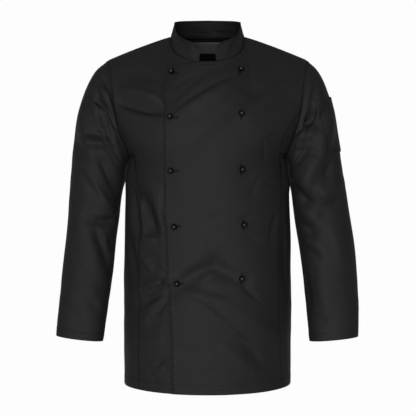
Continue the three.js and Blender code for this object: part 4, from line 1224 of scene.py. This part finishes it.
def crease_side(panel, strength):
    """Creases of a side panel, from the front and the back, fading at the very side."""
    x, y, z = np.moveaxis(panel.points, -1, 0)
    front = BODY_DEPTH * crease_height(FRONT_CREASES, x, z, BODY_WIDE) * (y < 0)
    back = BODY_DEPTH * crease_height(BACK_CREASES, x, z, BODY_WIDE) * (y > 0)
    under = UNDERARM_OUT * np.exp(-((y - UNDERARM_Y) / 20) ** 2) * ease(-256, -276, z) * ease(-350, -316, z)
    panel.raise_by(strength * ((front + back) * ease(88, 66, panel.turn) + ripple(x, y, z)) + under)


def crease_back(panel, strength):
    """Creases of the back."""
    x, y, z = np.moveaxis(panel.points, -1, 0)
    height = BODY_DEPTH * crease_height(BACK_CREASES, x, z, BODY_WIDE) + ripple(x, y, z)
    beside = np.minimum(panel.edges["left"], panel.edges["right"])
    calm = ease(0, 22, panel.edges["top"]) * ease(0, 12, beside)
    panel.raise_by(strength * height * (0.2 + 0.8 * calm))


def near_pocket(turn, z):
    """1 under the pen pocket and 0 away from it, so that the sleeve lies flat there."""
    turned = np.where(turn > 180, turn - 360, turn)
    round_it = ease(POCKET_TURN_FRONT + 10, POCKET_TURN_FRONT, turned) * ease(
        POCKET_TURN_BACK - 12, POCKET_TURN_BACK, turned)
    up_it = ease(POCKET_TOP + 14, POCKET_TOP + 2, z)
    return round_it * up_it * ease(POCKET_BOTTOM - 14, POCKET_BOTTOM - 2, z)


def crease_sleeve(panel, strength, front_rows, back_rows):
    """Creases of a sleeve: one table for its front half and one for its back half."""
    x, y, z = np.moveaxis(panel.points, -1, 0)
    facing = np.sin(np.radians(panel.turn))
    height = (SLEEVE_DEPTH * crease_height(front_rows, x, z) * ease(0.02, 0.4, facing)
              + SLEEVE_DEPTH * crease_height(back_rows, x, z) * ease(-0.02, -0.4, facing) + ripple(x, y, z))
    under = UNDERARM_IN * np.exp(-((panel.turn - UNDERARM_TURN) / 22) ** 2)
    under = under * ease(0.0, 0.05, panel.along) * ease(0.26, 0.16, panel.along)
    if panel.name == "sleeve_left":
        height = height * (1 - 0.9 * near_pocket(panel.turn, z))
    panel.raise_by(strength * height * ease(0, 0.05, panel.along) * ease(1, 0.97, panel.along) + under)


def build_front(side):
    """A front with its creases, seams, hem and, on top, its stitched closing edge."""
    sizes = bpy.context.scene.jacket_sizes
    panel = front_panel(side)
    crease_front(panel, sizes.creases)
    sewn, open_edge = ("right", "left") if side > 0 else ("left", "right")
    height = seam_relief(panel, sewn, 0.6 * sizes.pucker, 1.3 + side, roll=1.0, swollen=0.05)
    height += hem_relief(panel, "bottom", HEM_STITCH, 0.16 * sizes.pucker, 2.1 + side)
    if side > 0:
        height += seam_relief(panel, open_edge, 2.3 * sizes.pucker, 5.2, CLOSING_STITCH, roll=1.0)
        overlap = np.zeros(panel.points.shape[1])
        overlap[:OVERLAP_COLUMNS + 8] = 1
        double = seam_relief(panel, "top", 0.22 * sizes.pucker, 3.3, DOUBLE_STITCH, roll=1.0)
        height += double * overlap
        height += seam_relief(panel, "top", 0.1 * sizes.pucker, 3.9) * (1 - overlap)
    else:
        height += seam_relief(panel, "top", 0.1 * sizes.pucker, 3.9)
    panel.raise_by(height)
    panel.trim([sewn, "top"] if side < 0 else [sewn])
    runs = [(sewn, SEAM_STITCH, slice(None)), ("bottom", HEM_STITCH, slice(None))]
    if side > 0:
        runs += [(open_edge, CLOSING_STITCH, slice(None)),
                 ("top", TOP_STITCH, slice(0, OVERLAP_COLUMNS + 6)),
                 ("top", DOUBLE_STITCH, slice(0, OVERLAP_COLUMNS + 4))]
    add_cloth(panel, runs)
    return panel


def build_side(side):
    """A side panel with its creases, seams and hem."""
    sizes = bpy.context.scene.jacket_sizes
    panel = side_panel(side)
    crease_side(panel, sizes.creases)
    height = hem_relief(panel, "bottom", HEM_STITCH, 0.16 * sizes.pucker, 2.1 + side)
    for edge in ("left", "right"):
        height += seam_relief(panel, edge, 0.4 * sizes.pucker, 4.4 + side, roll=0.15, swollen=0.05)
    height += seam_relief(panel, "top", 0.2 * sizes.pucker, 0.7 + side)
    panel.raise_by(height)
    panel.trim(["left", "right", "top"])
    add_cloth(panel, [("bottom", HEM_STITCH, slice(None))])


def build_back():
    """The back with its creases, seams and hem."""
    sizes = bpy.context.scene.jacket_sizes
    panel = back_panel()
    crease_back(panel, sizes.creases)
    height = hem_relief(panel, "bottom", HEM_STITCH, 0.16 * sizes.pucker, 0.9)
    for edge, seed in (("left", 1.9), ("right", 3.1)):
        height += seam_relief(panel, edge, 0.55 * sizes.pucker, seed, roll=0.8)
    height += seam_relief(panel, "top", 0.1 * sizes.pucker, 2.7)
    panel.raise_by(height)
    panel.trim(["left", "right", "top"])
    # The back's inside faces, seen through the neck, get 0.9 of the painted shade.
    add_cloth(panel, [("left", SEAM_STITCH, slice(None)), ("right", SEAM_STITCH, slice(None)),
                      ("bottom", HEM_STITCH, slice(None))], inside_shading=0.9)


def build_sleeve(side):
    """A sleeve with its creases, its gathered head and its turned cuff."""
    sizes = bpy.context.scene.jacket_sizes
    panel = sleeve_panel(side)
    front_rows = SLEEVE_LEFT_CREASES if side > 0 else SLEEVE_RIGHT_CREASES
    back_rows = SLEEVE_LEFT_BACK_CREASES if side > 0 else SLEEVE_RIGHT_BACK_CREASES
    crease_sleeve(panel, sizes.creases, front_rows, back_rows)
    height = seam_relief(panel, "bottom", 0.26 * sizes.pucker, 2.9 + side)
    height += hem_relief(panel, "top", CUFF_STITCH, 0.16 * sizes.pucker, 6.1 + side)
    panel.raise_by(height)
    panel.trim(["bottom"])
    add_cloth(panel, [("bottom", SEAM_STITCH, slice(None)), ("top", CUFF_STITCH, slice(None))])


def build_collar():
    """The stand collar: its base seam, and its rolled and edge-stitched top."""
    sizes = bpy.context.scene.jacket_sizes
    panel = collar_panel()
    x, y, z = np.moveaxis(panel.points, -1, 0)
    creases = np.where(y < 0, crease_height(COLLAR_CREASES, x, z), crease_height(COLLAR_BACK_CREASES, x, z))
    calm = ease(0, 8, panel.edges["bottom"]) * ease(0, 6, panel.edges["top"])
    height = (0.5 * ripple(x, y, z) + sizes.creases * creases) * calm
    height += seam_relief(panel, "bottom", 0.15 * sizes.pucker, 1.1)
    height += hem_relief(panel, "top", COLLAR_STITCH, 0.2 * sizes.pucker, 4.2)
    height += 0.6 * np.exp(-((panel.edges["top"] - 1.9) / 1.4) ** 2)
    panel.raise_by(height)
    panel.trim(["bottom"])
    columns = panel.points.shape[1]
    # The collar's inside faces get half the painted shade.
    add_cloth(panel, [("top", COLLAR_STITCH, slice(5, columns - 5)), ("left", COLLAR_STITCH, slice(0, 12)),
                      ("right", COLLAR_STITCH, slice(0, 12)), ("bottom", SEAM_STITCH, slice(None))], inside_shading=0.5)


def build_pocket():
    """The pen pocket: three sides come down to the sleeve, and its mouth stands off."""
    sizes = bpy.context.scene.jacket_sizes
    panel = pocket_panel()
    x, y, z = np.moveaxis(panel.points, -1, 0)
    down = POCKET_GAP - POCKET_EDGE_UP
    sewn = np.minimum(np.minimum(panel.edges["left"], panel.edges["right"]), panel.edges["top"])
    height = 0.5 * ripple(x, y, z) - down * np.exp(-(sewn / 1.8) ** 2)
    height -= 0.3 * np.exp(-((sewn - POCKET_STITCH) / 0.8) ** 2)
    height += 0.8 * np.exp(-(panel.edges["bottom"] / 6) ** 2) * ease(2, 14, sewn)
    height += 0.2 * sizes.pucker * pucker(panel.up + panel.across, 1.4) * np.exp(-(sewn / 6) ** 2)
    panel.raise_by(height)
    add_cloth(panel, [(edge, POCKET_STITCH, slice(None)) for edge in ("left", "right", "top")]
              + [("bottom", 14, slice(2, -2))])


def build_label():
    """The bare neck label, of dark grey satin, sewn along its two ends."""
    colours = bpy.context.scene.jacket_colours
    panel = label_panel()
    edge = np.minimum.reduce([panel.edges[e] for e in ("left", "right", "bottom", "top")])
    # Its edges go back towards the cloth that it is sewn to, and its lower edge hangs off.
    panel.raise_by(0.4 * np.exp(-(edge / 1.5) ** 2) - 0.8 * np.exp(-(panel.edges["bottom"] / 6) ** 2))
    # Its inside faces get the full painted shade.
    obj = shell(panel, 0.6)
    finish_piece(obj, satin_material(colours))
    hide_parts("neck_label")
    lines = []
    for edge in ("left", "right"):
        points, normals = panel.line(edge, 2.0)
        lines.append(resample(points - normals * 0.6, -normals, 1.6))
    sewing = stitches("neck_label_stitching", lines, length=1.3, radius=0.25)
    finish_piece(sewing, thread_material(colours))


def settle(panel, x, z):
    """Points and directions of a piece's front where it is crossed at x and z: the
    nearest grid point, slid along its own plane."""
    near = ((panel.points[..., 0] - x[:, None, None]) ** 2 + (panel.points[..., 2] - z[:, None, None]) ** 2)
    index = near.reshape(len(x), -1).argmin(axis=1)
    point = panel.points.reshape(-1, 3)[index]
    normal = normals_of(panel.points).reshape(-1, 3)[index]
    slid = -(normal[:, 0] * (x - point[:, 0]) + normal[:, 2] * (z - point[:, 2])) / normal[:, 1]
    return stack(x, point[:, 1] + slid, z), normal


def ball(centre, axis):
    """A ball stud turned from a profile: a short waisted neck, a full ball, and the
    faint flat ring of its mould round the middle."""
    around = np.linspace(0.62, math.pi, 26)
    radius = STUD_RADIUS * np.sin(around)
    radius[-1] = 0
    high = STUD_MIDDLE - STUD_RADIUS * np.cos(around)
    radius = radius - 0.06 * np.exp(-((high - STUD_MIDDLE) / 0.35) ** 2)
    profile = np.concatenate([[[0, -0.6], [3.4, -0.6], [3.1, 0.2]], np.stack([radius, high], -1)])
    turns = np.arange(32) * 2 * math.pi / 32
    side = unit(np.cross(axis, [0.0, 0.0, 1.0]))
    up = np.cross(side, axis)
    ring = np.cos(turns)[:, None] * side + np.sin(turns)[:, None] * up
    base = centre - axis * STUD_MIDDLE
    points = base + profile[:, None, 1:] * axis + profile[:, None, :1] * ring[None]
    rows, columns = points.shape[:2]
    r, c = np.meshgrid(np.arange(1, rows - 2), np.arange(columns), indexing="ij")
    r, c = r.ravel(), c.ravel()
    after = (c + 1) % columns
    here, above = r * columns, (r + 1) * columns
    quads = np.stack([here + c, here + after, above + after, above + c], -1)
    c = np.arange(columns)
    after = (c + 1) % columns
    low = np.stack([np.zeros(columns, int), columns + after, columns + c], -1)
    last = (rows - 1) * columns
    high = np.stack([last - columns + c, last - columns + after, np.full(columns, last)], -1)
    keep = np.r_[0, columns:last + 1]
    new = np.full(rows * columns, -1)
    new[keep] = np.arange(len(keep))
    faces = [new[quads].tolist(), new[low].tolist(), new[high].tolist()]
    return points.reshape(-1, 3)[keep], [face for group in faces for face in group]


def build_studs(panel):
    """Ten glossy ball studs, on their places in the frame, each square to the cloth."""
    colours = bpy.context.scene.jacket_colours
    for row, places in STUD_PLACES.items():
        normals = settle(panel, *np.array(places, float).T)[1]
        for index, normal in enumerate(normals):
            node = f"stud_{row}_{index + 1}"
            low, high = (np.array(corner) * 1000 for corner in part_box(node))
            centre = (low + high) / 2 - 0.25 * normal
            points, faces = ball(centre, normal)
            mesh = bpy.data.meshes.new(node + "_ball")
            mesh.from_pydata((points / 1000).tolist(), [], faces)
            mesh.polygons.foreach_set("use_smooth", np.ones(len(faces), bool))
            obj = bpy.data.objects.new(node + "_ball", mesh)
            bpy.context.collection.objects.link(obj)
            finish_piece(obj, moulded_material(colours))
            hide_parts(node)


def build_buttonholes(panel):
    """Ten worked buttonholes: a narrow oval of close satin stitches on the cloth. They
    lie across the cloth in the wearer's right row and up it in the left row."""
    colours = bpy.context.scene.jacket_colours
    steps, around = 120, 8
    turn = np.arange(steps) * 2 * math.pi / steps
    section = np.arange(around) * 2 * math.pi / around
    all_points, all_faces = [], []
    for row, places in STUD_PLACES.items():
        for x, z in places:
            far = np.sign(np.cos(turn)) * np.abs(np.cos(turn)) ** 0.6
            near = np.sin(turn)
            if row == "right":
                path_x, path_z = x + 4.5 + 8.5 * far, z - 0.2 + 1.5 * near
            else:
                path_x, path_z = x + 1.5 * near, z - 0.5 + 10.5 * far
            points, normals = settle(panel, path_x, path_z)
            tangents = unit(np.roll(points, -1, axis=0) - np.roll(points, 1, axis=0))
            sides = unit(np.cross(normals, tangents))
            thick = 0.8 + 0.12 * np.cos(turn * 40)
            ring = (np.cos(section)[None, :, None] * sides[:, None]
                    + 0.7 * np.sin(section)[None, :, None] * normals[:, None])
            tube = points[:, None] + normals[:, None] * 0.15 + ring * thick[:, None, None]
            i, j = np.meshgrid(np.arange(steps), np.arange(around), indexing="ij")
            i, j = i.ravel(), j.ravel()
            i2, j2 = (i + 1) % steps, (j + 1) % around
            quads = np.stack([i * around + j, i * around + j2, i2 * around + j2, i2 * around + j], -1)
            if np.dot(np.cross(tangents[0], sides[0]), normals[0]) < 0:
                quads = quads[:, ::-1]
            all_faces.append(quads + len(all_points) * steps * around)
            all_points.append(tube.reshape(-1, 3))
    obj = add_mesh("buttonholes", np.concatenate(all_points), np.concatenate(all_faces))
    finish_piece(obj, thread_material(colours))


# Settings.

class JacketSizes(bpy.types.PropertyGroup):
    """Sizes that a user would change."""
    creases: bpy.props.FloatProperty(
        name="Creases", description="How deep the hand-placed creases are", default=1.0, min=0.0, max=1.5,
        subtype="FACTOR")
    pucker: bpy.props.FloatProperty(
        name="Pucker", description="How much the seams gather the cloth", default=1.0, min=0.0, max=2.0,
        subtype="FACTOR")
    key_power: bpy.props.FloatProperty(
        name="Key light", description="Power of the large soft light in front", default=385.0, min=0.0,
        unit="POWER")
    world_light: bpy.props.FloatProperty(
        name="World light", description="Strength of the near-white surroundings", default=0.98, min=0.0)


class JacketColours(bpy.types.PropertyGroup):
    """Colours of the cloth and trimmings."""
    twill: bpy.props.FloatVectorProperty(
        name="Twill", description="Colour of the cloth", size=4, subtype="COLOR", min=0, max=1,
        default=linear(0x090909))
    thread: bpy.props.FloatVectorProperty(
        name="Thread", description="Colour of the sewing thread", size=4, subtype="COLOR", min=0, max=1,
        default=linear(0x040404))
    label: bpy.props.FloatVectorProperty(
        name="Label", description="Colour of the neck label", size=4, subtype="COLOR", min=0, max=1,
        default=linear(0x111112))
    stud: bpy.props.FloatVectorProperty(
        name="Studs", description="Colour of the ball studs", size=4, subtype="COLOR", min=0, max=1,
        default=linear(0x020202))


# Operators.

built = {}


class JACKET_OT_fronts(bpy.types.Operator):
    """Makes both fronts, with the stitched closing edge of the one on top"""
    bl_idname = "jacket.fronts"
    bl_label = "Fronts"

    def execute(self, context):
        build_front(-1)
        built["front_left"] = build_front(1)
        return {"FINISHED"}


class JACKET_OT_side_panels(bpy.types.Operator):
    """Makes the two side panels"""
    bl_idname = "jacket.side_panels"
    bl_label = "Side panels"

    def execute(self, context):
        build_side(-1)
        build_side(1)
        return {"FINISHED"}


class JACKET_OT_back(bpy.types.Operator):
    """Makes the back"""
    bl_idname = "jacket.back"
    bl_label = "Back"

    def execute(self, context):
        build_back()
        return {"FINISHED"}


class JACKET_OT_sleeves(bpy.types.Operator):
    """Makes both sleeves and the pen pocket on the wearer's left one"""
    bl_idname = "jacket.sleeves"
    bl_label = "Sleeves and pen pocket"

    def execute(self, context):
        build_sleeve(-1)
        build_sleeve(1)
        build_pocket()
        return {"FINISHED"}


class JACKET_OT_collar(bpy.types.Operator):
    """Makes the stand collar and the bare label inside it"""
    bl_idname = "jacket.collar"
    bl_label = "Collar and label"

    def execute(self, context):
        build_collar()
        build_label()
        return {"FINISHED"}


class JACKET_OT_studs(bpy.types.Operator):
    """Makes the ball studs and their buttonholes, on the front on top"""
    bl_idname = "jacket.studs"
    bl_label = "Studs and buttonholes"

    def execute(self, context):
        if "front_left" not in built:
            raise RuntimeError("The fronts are made before the studs.")
        build_studs(built["front_left"])
        build_buttonholes(built["front_left"])
        return {"FINISHED"}


class JACKET_OT_stage(bpy.types.Operator):
    """Makes the pale floor, the near-white surroundings, the soft lights and the camera"""
    bl_idname = "jacket.stage"
    bl_label = "Stage"

    def execute(self, context):
        sizes = context.scene.jacket_sizes
        build_floor()
        build_world(sizes.world_light)
        add_soft_light("key", (-0.25, -3.2, -0.25), (0.0, 0.0, -0.4), 1.8, sizes.key_power)
        add_soft_light("fill", (-1.9, -2.6, 0.5), (0.0, 0.0, -0.4), 1.6, 0.06 * sizes.key_power)
        build_camera()
        return {"FINISHED"}


FLOOR_Z = -1.25
FLOOR_RADIUS = 1.9
CAMERA_DISTANCE = 2.5
CAMERA_HEIGHT = -0.370
FRAME_WIDTH = 0.894
SENSOR = 36


def build_floor():
    """A plain pale disc well below the hem."""
    turn = np.arange(96) * 2 * math.pi / 96
    rim = np.stack([FLOOR_RADIUS * np.cos(turn), FLOOR_RADIUS * np.sin(turn), np.full(96, FLOOR_Z)], -1)
    floor = add_mesh("studio_floor", rim * 1000, np.arange(96)[None])
    material, tree = start_material("paint_matt_pale")
    if tree:
        set_shader(tree, {}, Base_Color=linear(0xF4F4F2), Roughness=0.9)
    floor.data.materials.append(material)


def build_world(strength):
    """Even near-white light from all round."""
    world = bpy.data.worlds.new("studio")
    world.use_nodes = True
    background = world.node_tree.nodes["Background"]
    background.inputs["Color"].default_value = (1.0, 1.0, 1.0, 1.0)
    background.inputs["Strength"].default_value = strength
    bpy.context.scene.world = world


def add_soft_light(name, place, target, size, power):
    """A square area light at a place, turned to a target."""
    light = bpy.data.lights.new(name, "AREA")
    light.shape = "SQUARE"
    light.size = size
    light.energy = power
    obj = bpy.data.objects.new(name, light)
    obj.location = place
    aim = np.array(target) - np.array(place)
    flat = math.hypot(aim[0], aim[1])
    obj.rotation_euler = (math.atan2(flat, -aim[2]), 0, math.atan2(-aim[0], aim[1]))
    bpy.context.collection.objects.link(obj)


def build_camera():
    """A level camera in front, with the photograph's framing and a long lens."""
    camera = bpy.data.cameras.new("camera")
    camera.sensor_width = SENSOR
    camera.lens = SENSOR * CAMERA_DISTANCE / FRAME_WIDTH
    obj = bpy.data.objects.new("camera", camera)
    obj.location = (0.001, -CAMERA_DISTANCE, CAMERA_HEIGHT)
    obj.rotation_euler = (math.pi / 2, 0, 0)
    bpy.context.collection.objects.link(obj)
    bpy.context.scene.camera = obj
    bpy.context.scene.view_settings.view_transform = "Standard"


class JACKET_PT_panel(bpy.types.Panel):
    """The jacket's sizes, colours and pieces"""
    bl_idname = "JACKET_PT_panel"
    bl_label = "Chef jacket"
    bl_space_type = "VIEW_3D"
    bl_region_type = "UI"
    bl_category = "Chef jacket"

    def draw(self, context):
        layout = self.layout
        for group in (context.scene.jacket_sizes, context.scene.jacket_colours):
            for name in group.__annotations__:
                layout.prop(group, name)
        for operator in OPERATORS:
            layout.operator(operator.bl_idname)


OPERATORS = (JACKET_OT_fronts, JACKET_OT_side_panels, JACKET_OT_back, JACKET_OT_sleeves,
             JACKET_OT_collar, JACKET_OT_studs, JACKET_OT_stage)
CLASSES = (JacketSizes, JacketColours, *OPERATORS, JACKET_PT_panel)


def register():
    for cls in CLASSES:
        bpy.utils.register_class(cls)
    bpy.types.Scene.jacket_sizes = bpy.props.PointerProperty(type=JacketSizes)
    bpy.types.Scene.jacket_colours = bpy.props.PointerProperty(type=JacketColours)


def unregister():
    del bpy.types.Scene.jacket_colours
    del bpy.types.Scene.jacket_sizes
    for cls in reversed(CLASSES):
        bpy.utils.unregister_class(cls)


def main():
    """Builds every piece in order."""
    register()
    bpy.ops.jacket.fronts()
    bpy.ops.jacket.side_panels()
    bpy.ops.jacket.back()
    bpy.ops.jacket.sleeves()
    bpy.ops.jacket.collar()
    bpy.ops.jacket.studs()
    bpy.ops.jacket.stage()
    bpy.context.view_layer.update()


if __name__ == "__main__":
    main()
